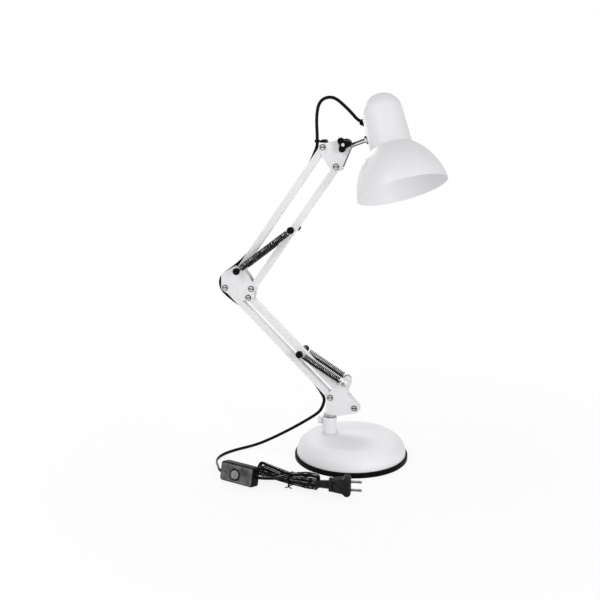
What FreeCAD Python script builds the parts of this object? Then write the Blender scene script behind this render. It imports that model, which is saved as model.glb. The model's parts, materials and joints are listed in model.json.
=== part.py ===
"""Swing arm desk lamp: weighted round base, two parallelogram arms with springs, and a bell shade.

The origin is the centre of the base's underside, +Z is up, and the arms lie in the XZ plane with
the shade towards +X. Lengths are in millimetres and angles in degrees.
"""
import FreeCAD, Part
import math
import os
import re
import Sketcher
from FreeCAD import Placement, Rotation, Vector

SIZES = {
    # clearances
    "fit_gap": 0.05,            # a screw, pin or bush in its own hole
    "running_gap": 0.08,        # a shaft that turns in a hole, on the radius
    "side_gap": 0.3,            # between pieces that move past each other
    "cord_gap": 0.02,           # left at each end of a length of cord, where two lengths meet
    # weighted base
    "ring_radius": 89.0,
    "ring_height": 8.0,
    "ring_wall": 3.2,
    "ring_lip": 5.0,
    "ring_floor": 1.6,
    "shell_wall": 1.2,
    "dome_top": 38.0,
    "dome_shoulder": 26.0,
    "dome_rim": 10.0,
    "pad_margin": 4.8,          # from the pad to the ring's lip
    "pad_thickness": 1.5,
    "bottom_plate": 1.6,
    "weight_margin": 8.8,       # from the weight to the ring's lip
    "weight_thickness": 14.0,
    "cover_screw_circle": 52.0,
    "cover_screw_radius": 2.0,
    "cover_screw_length": 9.0,
    # post that carries the arms
    "post_offset": 35.5,
    "post_radius": 11.5,
    "post_top": 64.0,
    "stud_radius": 5.0,
    "stud_clearance": 0.4,
    "stud_nut_flats": 16.0,
    "stud_nut_height": 6.0,
    "spacer_wall": 3.0,
    "bushing_wall": 1.5,
    "bushing_flange": 1.0,
    "spindle_radius": 6.0,
    "spindle_length": 20.0,
    "spindle_collar": 9.5,
    "thumb_height": 56.0,
    "thumb_radius": 2.5,
    "thumb_head_radius": 5.5,
    "thumb_head_length": 6.5,
    # arms
    "bar_length": 240.0,        # the lower bars, between their pivots
    "upper_length": 237.2,
    "bar_width": 10.0,
    "bar_wall": 1.0,
    "lower_angle": 136.3,
    "upper_angle": 55.0,
    "pivot_x": -33.0,
    "pivot_z": 97.0,
    "link_run": 39.0,
    "link_drop": 13.7,
    "elbow_run": 5.0,
    "elbow_rise": 14.5,
    "head_link_run": 20.7,
    "head_link_rise": 28.5,
    "plate_thickness": 1.5,
    "plate_edge": 6.8,
    "plate_corner": 4.5,
    "screw_radius": 2.5,
    "screw_head_radius": 4.5,
    "screw_head_height": 1.8,
    "screw_slot": 1.0,
    "nut_flats": 8.0,
    "nut_height": 3.2,
    # springs and their pins
    "pin_radius": 2.5,
    "pin_reach": 20.0,
    "cap_radius": 5.6,
    "cap_end": 1.0,             # how far a cap goes past its pin's end
    "cap_length": 5.0,
    "spring_offset": 14.5,      # from the arm's middle plane
    "ear_spring_offset": 13.0,
    "ear_reach": 16.5,
    "spring_radius": 5.25,
    "spring_wire": 1.1,
    "ear_run": 23.0,
    "ear_rise": 28.0,
    # head swivel
    "knob_run": 33.7,
    "knob_drop": -4.8,
    "barrel_radius": 8.0,
    "rod_offset": 4.5,          # how far the rod lies below the barrel's middle
    "rod_radius": 3.3,
    "rod_angle": 20.0,
    "rod_length": 64.5,
    "rod_nut_flats": 11.0,
    "rod_nut_height": 3.0,
    "knob_lobe_radius": 4.9,
    "knob_lobe_circle": 7.4,
    "knob_hub_radius": 6.5,
    "knob_thickness": 9.0,
    "bolt_head_height": 2.8,
    "bolt_cap_height": 6.0,
    "washer_thickness": 1.0,
    # shade, its cup and the lamp holder
    "shade_roll": -16.0,
    "shade_wall": 1.0,
    "cup_height": 59.0,
    "cup_crown": 3.0,           # the flat in the middle of the cup's round top
    "cup_top_radius": 30.1,
    "cup_rim_radius": 31.4,
    "cup_rim_drop": 22.6,
    "bell_radius": 67.7,
    "bell_drop": 88.9,
    "bell_curve": 96.9,
    "holder_radius": 17.5,
    "holder_tube": 20.0,
    "holder_rise": 15.0,
    "holder_drop": 36.0,
    "holder_collar": 24.0,
    "holder_collar_height": 3.0,
    "socket_radius": 13.2,
    "socket_wall": 0.5,
    "socket_depth": 26.0,
    "ring_nut_radius": 25.5,
    "ring_nut_height": 6.0,
    "contact_radius": 4.5,
    "contact_thickness": 0.8,
    "grommet_rise": 25.5,
    "grommet_radius": 4.6,
    "grommet_length": 11.0,
    # cord and the pieces on it
    "cord_diameter": 4.6,
    "switch_length": 59.0,
    "switch_height": 29.0,
    "switch_depth": 17.0,
    "switch_split": 9.0,
    "switch_wall": 1.8,
    "button_radius": 8.2,
    "button_rise": 2.2,
    "button_travel": 2.0,
    "tie_radius": 10.8,
    "tie_width": 3.0,
    "tie_thickness": 0.7,
    "plug_collar_radius": 10.5,
    "plug_collar_length": 4.5,
    "plug_length": 27.0,
    "plug_height": 31.0,
    "plug_depth": 15.0,
    "relief_length": 14.0,
    "relief_radius": 6.0,
    "blade_length": 15.9,
    "blade_width": 6.35,
    "blade_thickness": 1.5,
    "blade_spacing": 12.7,
    "blade_hole": 1.6,
}

X, Y, Z = Vector(1, 0, 0), Vector(0, 1, 0), Vector(0, 0, 1)
NEAR, FAR = -1, 1

doc = FreeCAD.newDocument("swing_arm_lamp")
sheet = doc.addObject("Spreadsheet::Sheet", "sizes")
for row, (alias, number) in enumerate(SIZES.items(), start=1):
    sheet.set(f"A{row}", alias)
    sheet.set(f"B{row}", str(number))
    sheet.setAlias(f"B{row}", alias)
doc.recompute()

nodes = []


# ---------------------------------------------------------------- helpers: values and placing

def bound(formula):
    """A formula on the sheet's aliases, as an expression that names the sheet."""
    def cell(word):
        return f"sizes.{word.group()}" if word.group() in SIZES else word.group()

    return re.sub(r"[a-z][a-z_]*", cell, formula)


def value(formula):
    """What a formula on the sheet's aliases comes to."""
    return float(sheet.evalExpression(bound(formula)))


def bind(item, **formulas):
    """Bind properties to formulas."""
    for name, formula in formulas.items():
        item.setExpression(name, bound(formula))


def put(item, corner, rotation=None):
    """Place an item at three formulas, turned by a rotation."""
    item.Placement = Placement(Vector(*[value(c) for c in corner]), rotation or Rotation())
    for axis, formula in zip("xyz", corner):
        item.setExpression(f"Placement.Base.{axis}", bound(formula))
    return item


def point(x, z, y=0.0):
    """A point of the arm plane, or beside it."""
    return Vector(x, y, z)


def node(item, label, placement=None):
    """Name a finished sub-part, place it and list it for export."""
    if placement:
        if item.isDerivedFrom("Part::Primitive"):
            item = group(item)      # a primitive's own place is bound to the sheet
        item.Placement = placement
    item.Label = label
    nodes.append(item)
    return item


# ---------------------------------------------------------------- helpers: primitives

def box(lengths, corner):
    made = doc.addObject("Part::Box", "box")
    bind(made, Length=lengths[0], Width=lengths[1], Height=lengths[2])
    return put(made, corner)


def cylinder(radius, length, start, direction=Z):
    made = doc.addObject("Part::Cylinder", "cylinder")
    bind(made, Radius=radius, Height=length)
    return put(made, start, Rotation(Z, direction))


def prism(flats, length, start, direction=Z):
    """A hexagon bar, by the distance across its flats."""
    made = doc.addObject("Part::Prism", "prism")
    made.Polygon = 6
    bind(made, Circumradius=f"({flats}) / sqrt(3)", Height=length)
    return put(made, start, Rotation(Z, direction))


def fused(*items):
    made = doc.addObject("Part::MultiFuse", "fuse")
    made.Shapes = list(items)
    return made


def cut(base, *tools):
    for tool in tools:
        made = doc.addObject("Part::Cut", "cut")
        made.Base = base
        made.Tool = tool
        base = made
    return base


def group(*items):
    """Separate solids that share one node."""
    made = doc.addObject("Part::Compound", "group")
    made.Links = list(items)
    return made


def feature(shape):
    """A sub-part whose shape is worked out here."""
    made = doc.addObject("Part::Feature", "shape")
    made.Shape = shape
    return made


# ---------------------------------------------------------------- helpers: sketches

def plane_of(body, role):
    return next(item for item in body.Origin.OriginFeatures if item.Role == role)


def sketch_on(body, role, offset="0"):
    """A sketch on one of the body's own planes, moved along its normal."""
    sketch = body.newObject("Sketcher::SketchObject", "sketch")
    sketch.AttachmentSupport = (plane_of(body, role), "")
    sketch.MapMode = "FlatFace"
    sketch.setExpression("AttachmentOffset.Base.z", bound(offset))
    return sketch


def fix_point(sketch, edge, end, x, y):
    """Hold a point of an edge at two formulas."""
    for kind, axis, formula in (("DistanceX", -2, x), ("DistanceY", -1, y)):
        amount = value(formula)
        if abs(amount) < 1e-9:
            sketch.addConstraint(Sketcher.Constraint("PointOnObject", edge, end, axis))
        else:
            index = sketch.addConstraint(Sketcher.Constraint(kind, -1, 1, edge, end, amount))
            sketch.setExpression(f"Constraints[{index}]", bound(formula))


def arc_between(start, end, radius, side):
    """The shorter arc from start to end, its centre on the left (1) or the right (-1) of the way there."""
    half = (end - start) * 0.5
    across = Vector(-half.y, half.x, 0).normalize()
    centre = start + half + across * side * math.sqrt(radius**2 - half.Length**2)
    first, last = (start, end) if side == 1 else (end, start)
    angles = [math.atan2(p.y - centre.y, p.x - centre.x) for p in (first, last)]
    return Part.ArcOfCircle(Part.Circle(centre, Z, radius), *angles)


def outline(sketch, corners):
    """A closed outline of corners (x, y), or (x, y, radius, side) where an arc runs to the next one."""
    spots = [Vector(value(c[0]), value(c[1]), 0) for c in corners]
    ends = []
    first = sketch.GeometryCount
    for index, corner in enumerate(corners):
        start, end = spots[index], spots[(index + 1) % len(spots)]
        if len(corner) == 2:
            sketch.addGeometry(Part.LineSegment(start, end), False)
            ends.append((1, 2))
        else:
            sketch.addGeometry(arc_between(start, end, value(corner[2]), corner[3]), False)
            ends.append((1, 2) if corner[3] == 1 else (2, 1))
    for index, corner in enumerate(corners):
        edge, following = first + index, first + (index + 1) % len(corners)
        sketch.addConstraint(
            Sketcher.Constraint("Coincident", edge, ends[index][1], following, ends[following][0])
        )
    for index, corner in enumerate(corners):
        fix_point(sketch, first + index, ends[index][0], corner[0], corner[1])
        if len(corner) == 4:
            radius = sketch.addConstraint(Sketcher.Constraint("Radius", first + index, value(corner[2])))
            sketch.setExpression(f"Constraints[{radius}]", bound(corner[2]))


def circle(sketch, x, y, radius):
    edge = sketch.addGeometry(Part.Circle(Vector(value(x), value(y), 0), Z, value(radius)), False)
    fix_point(sketch, edge, 3, x, y)
    index = sketch.addConstraint(Sketcher.Constraint("Radius", edge, value(radius)))
    sketch.setExpression(f"Constraints[{index}]", bound(radius))


def revolve(body, sketch, kind="Revolution"):
    made = body.newObject(f"PartDesign::{kind}", "turned")
    made.Profile = sketch
    made.ReferenceAxis = (sketch, ["V_Axis"])
    made.Angle = 360
    sketch.Visibility = False
    return made


def turned(corners, label, placement=None):
    """A sub-part turned about its own Z axis, from (radius, height) corners."""
    body = doc.addObject("PartDesign::Body", label)
    sketch = sketch_on(body, "XZ_Plane")
    outline(sketch, corners)
    revolve(body, sketch)
    return node(body, label, placement)


# ---------------------------------------------------------------- where the frames stand

def along(angle):
    """The unit vector of the arm plane that rises at an angle from +X."""
    return Vector(math.cos(math.radians(angle)), 0, math.sin(math.radians(angle)))


lower_way = along(value("lower_angle"))
upper_way = along(value("upper_angle"))
rod_way = along(value("rod_angle"))
lower_left = point(value("pivot_x"), value("pivot_z"))
lower_right = lower_left + point(value("link_run"), -value("link_drop"))
elbow_left = lower_left + lower_way * value("bar_length")
elbow_low_right = lower_right + lower_way * value("bar_length")
elbow_right = elbow_low_right + point(value("elbow_run"), value("elbow_rise"))
elbow_top = elbow_right + point(-value("head_link_run"), value("head_link_rise"))
head_left = elbow_top + upper_way * value("upper_length")
knob_centre = head_left + point(value("knob_run"), -value("knob_drop"))
rod_down = Vector(rod_way.z, 0, -rod_way.x)
shade_centre = knob_centre + rod_way * value("rod_length") + rod_down * value("rod_offset")

post_place = Placement(point(-value("post_offset"), 0), Rotation())
bracket_place = Placement(lower_left, Rotation())
elbow_place = Placement(elbow_left, Rotation())
head_place = Placement(head_left, Rotation())
rod_turn = Rotation(Y, -value("rod_angle"))
swivel_place = Placement(knob_centre, rod_turn)
shade_place = Placement(shade_centre, rod_turn * Rotation(X, value("shade_roll")))


def bar_place(foot, angle):
    """A bar's frame: X along the bar, Z out of its open side."""
    return Placement(foot, Rotation(Y, -value(angle)))


# formulas that several sub-parts share
HALF_GAP = "bar_width / 2 + side_gap"
HALF_STACK = "bar_width / 2 + side_gap + plate_thickness"
SHELL_RADIUS = "ring_radius - ring_wall - fit_gap"
LIP_RADIUS = "ring_radius - ring_wall - ring_lip"
PLATE_TOP = "pad_thickness + bottom_plate"
WEIGHT_TOP = "pad_thickness + bottom_plate + weight_thickness"
CUP_SHOULDER = "cup_height - (cup_top_radius - cup_crown)"
CUP_TAPER = f"(cup_rim_radius - cup_top_radius) / ({CUP_SHOULDER} + cup_rim_drop)"
NECK_AT_ROD = f"cup_top_radius + ({CUP_SHOULDER}) * {CUP_TAPER}"


# ---------------------------------------------------------------- base

def dome_profile(sketch, inset):
    """The dome's half section: a flat crown arc, a shoulder arc and a short wall, all inset alike."""
    radius = f"{SHELL_RADIUS} - {inset}"
    shoulder = f"dome_shoulder - {inset}"
    top = f"dome_top - {inset}"
    rise = value(f"{top} - dome_rim")
    wide, small = value(radius), value(shoulder)
    crown = (rise**2 + (wide - small) ** 2 - small**2) / (2 * (rise - small))
    crown_centre = Vector(0, value(top) - crown, 0)
    shoulder_centre = Vector(wide - small, value("dome_rim"), 0)
    lean = math.atan2(shoulder_centre.y - crown_centre.y, shoulder_centre.x)
    floor_z = value("ring_floor")
    tops = Vector(0, value(top), 0)
    corner = Vector(wide, value("dome_rim"), 0)
    foot, middle = Vector(wide, floor_z, 0), Vector(0, floor_z, 0)
    sketch.addGeometry(
        [
            Part.LineSegment(middle, tops),
            Part.ArcOfCircle(Part.Circle(crown_centre, Z, crown), lean, math.pi / 2),
            Part.ArcOfCircle(Part.Circle(shoulder_centre, Z, small), 0, lean),
            Part.LineSegment(corner, foot),
            Part.LineSegment(foot, middle),
        ],
        False,
    )
    for one, end, other, start in ((0, 2, 1, 2), (3, 2, 4, 1), (4, 2, 0, 1)):
        sketch.addConstraint(Sketcher.Constraint("Coincident", one, end, other, start))
    sketch.addConstraint(Sketcher.Constraint("Tangent", 1, 1, 2, 2))
    sketch.addConstraint(Sketcher.Constraint("Tangent", 2, 1, 3, 1))
    sketch.addConstraint(Sketcher.Constraint("PointOnObject", 1, 3, -2))
    sketch.addConstraint(Sketcher.Constraint("Vertical", 3))
    sketch.addConstraint(Sketcher.Constraint("Horizontal", 4))
    fix_point(sketch, 0, 1, "0", "ring_floor")
    fix_point(sketch, 0, 2, "0", top)
    fix_point(sketch, 3, 1, radius, "dome_rim")
    bend = sketch.addConstraint(Sketcher.Constraint("Radius", 2, small))
    sketch.setExpression(f"Constraints[{bend}]", bound(shoulder))
    return crown


def crown_height(radius, inset=0.0):
    """The height of the dome's crown at a radius."""
    rise = value("dome_top - dome_rim") - inset
    wide, small = value(SHELL_RADIUS) - inset, value("dome_shoulder") - inset
    crown = (rise**2 + (wide - small) ** 2 - small**2) / (2 * (rise - small))
    return value("dome_top") - inset - crown + math.sqrt(crown**2 - radius**2)


def base_shell():
    body = doc.addObject("PartDesign::Body", "base_shell")
    outer = sketch_on(body, "XZ_Plane")
    dome_profile(outer, "0")
    revolve(body, outer)
    doc.recompute()
    solid = body.Shape.Volume
    inner = sketch_on(body, "XZ_Plane")
    dome_profile(inner, "shell_wall")
    revolve(body, inner, "Groove")
    doc.recompute()
    hole_sketch = sketch_on(body, "XY_Plane")
    circle(hole_sketch, "-post_offset", "0", "stud_radius + stud_clearance")
    hole = body.newObject("PartDesign::Pocket", "stud_hole")
    hole.Profile = hole_sketch
    hole.Type = "ThroughAll"
    hole.Reversed = True
    doc.recompute()
    assert body.Shape.Volume < 0.2 * solid, "the shell was not hollowed"
    return node(body, "base_shell")


def base_ring():
    """The rubber ring round the shell's rim, with a lip under it."""
    inner = "ring_radius - ring_wall"
    turned(
        [
            (LIP_RADIUS, "0"),
            ("ring_radius - 1", "0"),
            ("ring_radius", "1"),
            ("ring_radius", "ring_height - 1"),
            ("ring_radius - 1", "ring_height"),
            (inner, "ring_height"),
            (inner, "ring_floor - fit_gap"),
            (LIP_RADIUS, "ring_floor - fit_gap"),
        ],
        "base_rubber_ring",
    )


def base_inside():
    """Foot pad, bottom plate, iron weight, cover screws, and the stud's nut and sleeve."""
    node(cylinder(f"{LIP_RADIUS} - pad_margin", "pad_thickness", ("0", "0", "0")), "base_foot_pad")
    plate = cylinder(f"{LIP_RADIUS} - fit_gap", "bottom_plate", ("0", "0", "pad_thickness"))
    weight = cylinder(f"{LIP_RADIUS} - weight_margin", "weight_thickness", ("0", "0", PLATE_TOP))
    stud_hole = cylinder(
        "stud_radius + stud_clearance", "weight_thickness", ("-post_offset", "0", PLATE_TOP)
    )
    recess = prism(
        "stud_nut_flats + 2 * stud_clearance", "stud_nut_height + fit_gap", ("-post_offset", "0", PLATE_TOP)
    )
    plate_holes, weight_holes, screws = [], [], []
    for turn in (60, 180 + 120, 180):
        spot = (f"cover_screw_circle * cos({turn})", f"cover_screw_circle * sin({turn})", "pad_thickness")
        plate_holes.append(cylinder("cover_screw_radius + fit_gap", "bottom_plate", spot))
        bore_foot = (*spot[:2], PLATE_TOP)
        bore_depth = "cover_screw_length - bottom_plate + fit_gap"
        weight_holes.append(cylinder("cover_screw_radius + fit_gap", bore_depth, bore_foot))
        screws.append(cylinder("cover_screw_radius", "cover_screw_length", spot))
    node(cut(plate, *plate_holes), "base_bottom_plate")
    node(cut(weight, stud_hole, recess, *weight_holes), "base_weight")
    node(group(*screws), "base_cover_screws")
    sleeve_height = crown_height(value("post_offset + stud_radius + spacer_wall"), value("shell_wall"))
    sleeve = cut(
        cylinder("stud_radius + stud_clearance + spacer_wall", "1", ("-post_offset", "0", WEIGHT_TOP)),
        cylinder("stud_radius + stud_clearance", "dome_top", ("-post_offset", "0", WEIGHT_TOP)),
    )
    sleeve.Base.setExpression("Height", f"{sleeve_height - value('fit_gap')} - ({bound(WEIGHT_TOP)})")
    nut_foot = ("-post_offset", "0", PLATE_TOP + " + fit_gap")
    nut = cut(
        prism("stud_nut_flats", "stud_nut_height - fit_gap", nut_foot),
        cylinder("stud_radius + fit_gap", "stud_nut_height", nut_foot),
    )
    node(group(sleeve, nut), "post_sleeve_and_nut")


def base_post():
    """The post and its stud, the bush that the bracket's spindle turns in, and the thumb screw."""
    seat = crown_height(value("post_offset - post_radius")) + value("fit_gap")
    stud_foot = PLATE_TOP + " + fit_gap"
    bore_foot = "post_top - spindle_length - 1"
    bore = "spindle_radius + running_gap + bushing_wall"
    here = ("0", "0")
    body = cylinder("post_radius", "1", (*here, str(seat)))
    body.setExpression("Height", f"sizes.post_top - {seat}")
    stud = cylinder("stud_radius", "1", (*here, stud_foot))
    stud.setExpression("Height", f"{seat + 1} - ({bound(stud_foot)})")
    post_bore = cylinder(f"{bore} + fit_gap", "post_top", (*here, bore_foot))
    thumb_start = ("-post_radius - 1", "0", "thumb_height")
    thumb_hole = cylinder("thumb_radius + running_gap", "post_radius", thumb_start, X)
    node(cut(fused(body, stud), post_bore, thumb_hole), "base_post", post_place)
    bush = fused(
        cylinder(bore, "spindle_length + 1", (*here, bore_foot)),
        cylinder("spindle_collar", "bushing_flange", (*here, "post_top")),
    )
    bush_bore = cylinder("spindle_radius + running_gap", "post_top", (*here, bore_foot))
    bush_hole = cylinder("thumb_radius + running_gap", "post_radius", thumb_start, X)
    node(cut(bush, bush_bore, bush_hole), "post_bushing", post_place)
    tip = "-spindle_radius - side_gap"
    head_start = "-post_radius - side_gap - thumb_head_length"
    shank = cylinder("thumb_radius", f"({tip}) - ({head_start})", (head_start, "0", "thumb_height"), X)
    head = cylinder("thumb_head_radius", "thumb_head_length", (head_start, "0", "thumb_height"), X)
    flutes = [
        cylinder(
            "thumb_head_radius / 4",
            "thumb_head_length",
            (
                head_start,
                f"thumb_head_radius * 1.12 * cos({turn})",
                f"thumb_height + thumb_head_radius * 1.12 * sin({turn})",
            ),
            X,
        )
        for turn in range(0, 360, 45)
    ]
    node(fused(cut(head, *flutes), shank), "post_thumb_screw", post_place)


# ---------------------------------------------------------------- pieces that the brackets share

def plate(label, side, corners, holes, placement):
    """A bracket plate on the near or the far side, with rounded corners and round holes."""
    body = doc.addObject("PartDesign::Body", label)
    sketch = sketch_on(body, "XZ_Plane", HALF_GAP if side == NEAR else f"-({HALF_STACK})")
    outline(sketch, corners)
    for x, z, radius in holes:
        circle(sketch, x, z, radius)
    pad = body.newObject("PartDesign::Pad", "pad")
    pad.Profile = sketch
    bind(pad, Length="plate_thickness")
    sketch.Visibility = False
    doc.recompute()
    upright = [
        f"Edge{index}"
        for index, edge in enumerate(pad.Shape.Edges, start=1)
        if len(edge.Vertexes) == 2 and edge.Curve.TypeId == "Part::GeomLine" and abs(edge.tangentAt(0).y) > 0.9
    ]
    seams = [
        f"Edge{index}"
        for index, edge in enumerate(pad.Shape.Edges, start=1)
        if any(
            math.hypot(edge.Vertexes[0].X - value(x), edge.Vertexes[0].Z - value(z)) < value(radius) + 0.01
            for x, z, radius in holes
        )
    ]
    rounding = body.newObject("PartDesign::Fillet", "corners")
    rounding.Base = (pad, [name for name in upright if name not in seams])
    bind(rounding, Radius="plate_corner")
    doc.recompute()
    return node(body, label, placement)


def both_plates(name, corners, holes, placement):
    plate(f"{name}_near_plate", NEAR, corners, holes, placement)
    plate(f"{name}_far_plate", FAR, corners, holes, placement)


def pivot_screw(x, z):
    """A slotted pan-head screw across both plates, head on the near side."""
    head_start = f"-({HALF_STACK}) - screw_head_height"
    head = cylinder("screw_head_radius", "screw_head_height", (x, head_start, z), Y)
    slot = box(
        ("2 * screw_head_radius", "screw_head_height / 2", "screw_slot"),
        (f"{x} - screw_head_radius", head_start, f"{z} - screw_slot / 2"),
    )
    shank_start = f"-({HALF_STACK}) - screw_head_height / 3"
    shank_length = f"2 * ({HALF_STACK}) + screw_head_height / 3 + nut_height + screw_slot"
    shank = cylinder("screw_radius", shank_length, (x, shank_start, z), Y)
    return fused(cut(head, slot), shank)


def pivot_nut(x, z):
    start = (x, HALF_STACK, z)
    bore = cylinder("screw_radius + fit_gap", "nut_height", start, Y)
    return cut(prism("nut_flats", "nut_height", start, Y), bore)


def pivots(label, spots, placement, *others):
    """The screws and nuts of a bracket's pivots, each a solid of its own."""
    screws = [pivot_screw(x, z) for x, z in spots]
    nuts = [pivot_nut(x, z) for x, z in spots]
    node(group(*screws, *nuts, *others), label, placement)


def cross_pin(x, z):
    """A pin that sticks out on both sides to hold a pair of springs."""
    return cylinder("pin_radius", "2 * pin_reach", (x, "-pin_reach", z), Y)


def ear_pins(x, z):
    """Two short pins that stick out from the plates' outer sides, clear of the bars between them."""
    length = f"ear_reach - ({HALF_GAP})"
    return [cylinder("pin_radius", length, (x, start, z), Y) for start in ("-ear_reach", HALF_GAP)]


def capped_pin(label, x, z, placement):
    """A cross pin with plastic caps pushed onto both ends."""
    caps = []
    near_cap = ("-pin_reach - cap_end", "-pin_reach")
    far_cap = ("pin_reach + cap_end - cap_length", "pin_reach - cap_length")
    for start, bore_start in (near_cap, far_cap):
        caps.append(
            cut(
                cylinder("cap_radius", "cap_length", (x, start, z), Y),
                cylinder("pin_radius + fit_gap", "cap_length", (x, bore_start, z), Y),
            )
        )
    node(group(cross_pin(x, z), *caps), label, placement)


def arm_bar(label, foot, angle, length, pin=False):
    """A channel with rounded ends and a pivot hole near each end. A pin hole may cross its middle."""
    half = "bar_width / 2"
    stadium = fused(
        box((length, "bar_width", "bar_width"), ("0", f"-{half}", f"-{half}")),
        cylinder(half, "bar_width", ("0", f"-{half}", "0"), Y),
        cylinder(half, "bar_width", (length, f"-{half}", "0"), Y),
    )
    hollow = box(
        (f"{length} + 2 * bar_width", "bar_width - 2 * bar_wall", "bar_width"),
        ("-bar_width", f"bar_wall - {half}", f"bar_wall - {half}"),
    )
    bore = "screw_radius + running_gap"
    holes = [cylinder(bore, "bar_width", (x, f"-{half}", "0"), Y) for x in ("0", length)]
    if pin:
        holes.append(cylinder("pin_radius + fit_gap", "bar_width", (f"{length} / 2", f"-{half}", "0"), Y))
    node(cut(stadium, hollow, *holes), label, bar_place(foot, angle))


def spring_pair(name, first, last, first_offset="spring_offset"):
    """Two closed-coil springs with an eye round each pin, one on each side of the arm."""
    offsets = value(first_offset), value("spring_offset")
    length = math.hypot((last - first).Length, offsets[1] - offsets[0])
    wire = value("spring_wire")
    eye = value("pin_radius + side_gap") + wire
    coil = value("spring_radius")
    neck = value("cap_radius + side_gap")
    body_length = length - 2 * neck
    turns = max(4, round(body_length / (2 * wire * 1.8)))
    pitch = body_length / turns
    pair = []
    for side in (NEAR, FAR):
        bumps = [Part.LineSegment(Vector(0, 0, neck), Vector(coil - wire, 0, neck)).toShape()]
        for index in range(turns):
            low = Vector(coil - wire, 0, neck + index * pitch)
            high = low + Vector(0, 0, pitch)
            bumps.append(Part.Arc(low, (low + high) * 0.5 + Vector(wire, 0, 0), high).toShape())
        top = Vector(coil - wire, 0, length - neck)
        bumps.append(Part.LineSegment(top, Vector(0, 0, length - neck)).toShape())
        bumps.append(Part.LineSegment(Vector(0, 0, length - neck), Vector(0, 0, neck)).toShape())
        coils = Part.Face(Part.Wire(bumps)).revolve(Vector(), Z, 360)
        eyes = [Part.makeTorus(eye, wire, Vector(0, 0, h), Y) for h in (0, length)]
        stems = [Part.makeCylinder(wire, neck - eye + wire, Vector(0, 0, h)) for h in (eye, length - neck - wire)]
        shape = coils.fuse(eyes + stems).removeSplitter()
        start, end = first + Y * side * offsets[0], last + Y * side * offsets[1]
        shape.Placement = Placement(start, Rotation(Z, end - start))
        pair.append(shape)
    node(feature(Part.makeCompound(pair)), f"{name}_springs")


# ---------------------------------------------------------------- brackets and arms

def lower_bracket():
    left, right, ear = ("0", "0"), ("link_run", "-link_drop"), ("ear_run", "ear_rise")
    drop = "-(pivot_z - post_top - bushing_flange - 3.5)"
    corners = [
        ("-plate_edge", drop),
        ("16", drop),
        ("link_run + plate_edge", "-link_drop - plate_edge"),
        ("link_run + plate_edge", "-link_drop + plate_edge / 2"),
        ("ear_run + 3", "ear_rise / 3"),
        ("ear_run + plate_edge + 3", "ear_rise"),
        ("ear_run + 1", "ear_rise + plate_edge + 2"),
        ("ear_run - plate_edge - 1", "ear_rise - 2"),
        ("-plate_edge", "plate_edge / 2"),
    ]
    shaft = "screw_radius + fit_gap"
    holes = [(*left, shaft), (*right, shaft), (*ear, "pin_radius + fit_gap")]
    both_plates("lower_bracket", corners, holes, bracket_place)
    pivots("lower_bracket_fasteners", [left, right], bracket_place, *ear_pins(*ear))
    base_z = "post_top + bushing_flange + running_gap"
    under_plates = "3.5 - running_gap"
    block = box(
        ("2 * spindle_radius", f"2 * ({HALF_GAP})", "10"),
        ("-spindle_radius + 3.3", f"-({HALF_GAP})", f"{base_z} + {under_plates}"),
    )
    collar = cylinder("spindle_collar", under_plates, ("0", "0", base_z))
    shaft_rod = cylinder("spindle_radius", "spindle_length", ("0", "0", f"{base_z} - spindle_length"))
    rise = cylinder("spindle_radius - 1", "5", ("0", "0", base_z))
    node(fused(block, collar, shaft_rod, rise), "swivel_spindle", post_place)


def elbow():
    left, right = ("0", "0"), ("link_run", "-link_drop")
    up_right = ("link_run + elbow_run", "elbow_rise - link_drop")
    top = ("link_run + elbow_run - head_link_run", "elbow_rise - link_drop + head_link_rise")
    corners = [
        ("-plate_edge", "-plate_edge / 2"),
        ("12", "-link_drop"),
        ("link_run - 11", "-link_drop - plate_edge + 1.2"),
        ("link_run + plate_edge", "-link_drop - plate_edge + 1.2"),
        ("link_run + elbow_run + plate_edge", "elbow_rise - link_drop + 3"),
        (f"{top[0]} + plate_edge + 1", f"{top[1]} + plate_edge / 2"),
        (f"{top[0]} - plate_edge + 1", f"{top[1]} + plate_edge"),
        ("-plate_edge + 0.5", "22"),
    ]
    shaft = "screw_radius + fit_gap"
    holes = [(*spot, shaft) for spot in (left, right, up_right)] + [(*top, "pin_radius + fit_gap")]
    both_plates("elbow", corners, holes, elbow_place)
    pivots("elbow_fasteners", [left, right, up_right], elbow_place)
    capped_pin("elbow_spring_pin", *top, elbow_place)


def arms():
    """Four bars, the pins across the middle of the right-hand ones, and the springs."""
    lower, upper = ("lower_angle", "bar_length"), ("upper_angle", "upper_length")
    arm_bar("lower_left_bar", lower_left, *lower)
    arm_bar("lower_right_bar", lower_right, *lower, pin=True)
    arm_bar("upper_left_bar", elbow_top, *upper)
    arm_bar("upper_right_bar", elbow_right, *upper, pin=True)
    for name, foot, (angle, length) in (("lower", lower_right, lower), ("upper", elbow_right, upper)):
        capped_pin(f"{name}_spring_pin", f"{length} / 2", "0", bar_place(foot, angle))
    ear = lower_left + point(value("ear_run"), value("ear_rise"))
    spring_pair("lower", ear, lower_right + lower_way * value("bar_length / 2"), "ear_spring_offset")
    spring_pair("upper", elbow_top, elbow_right + upper_way * value("upper_length / 2"))


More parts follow.
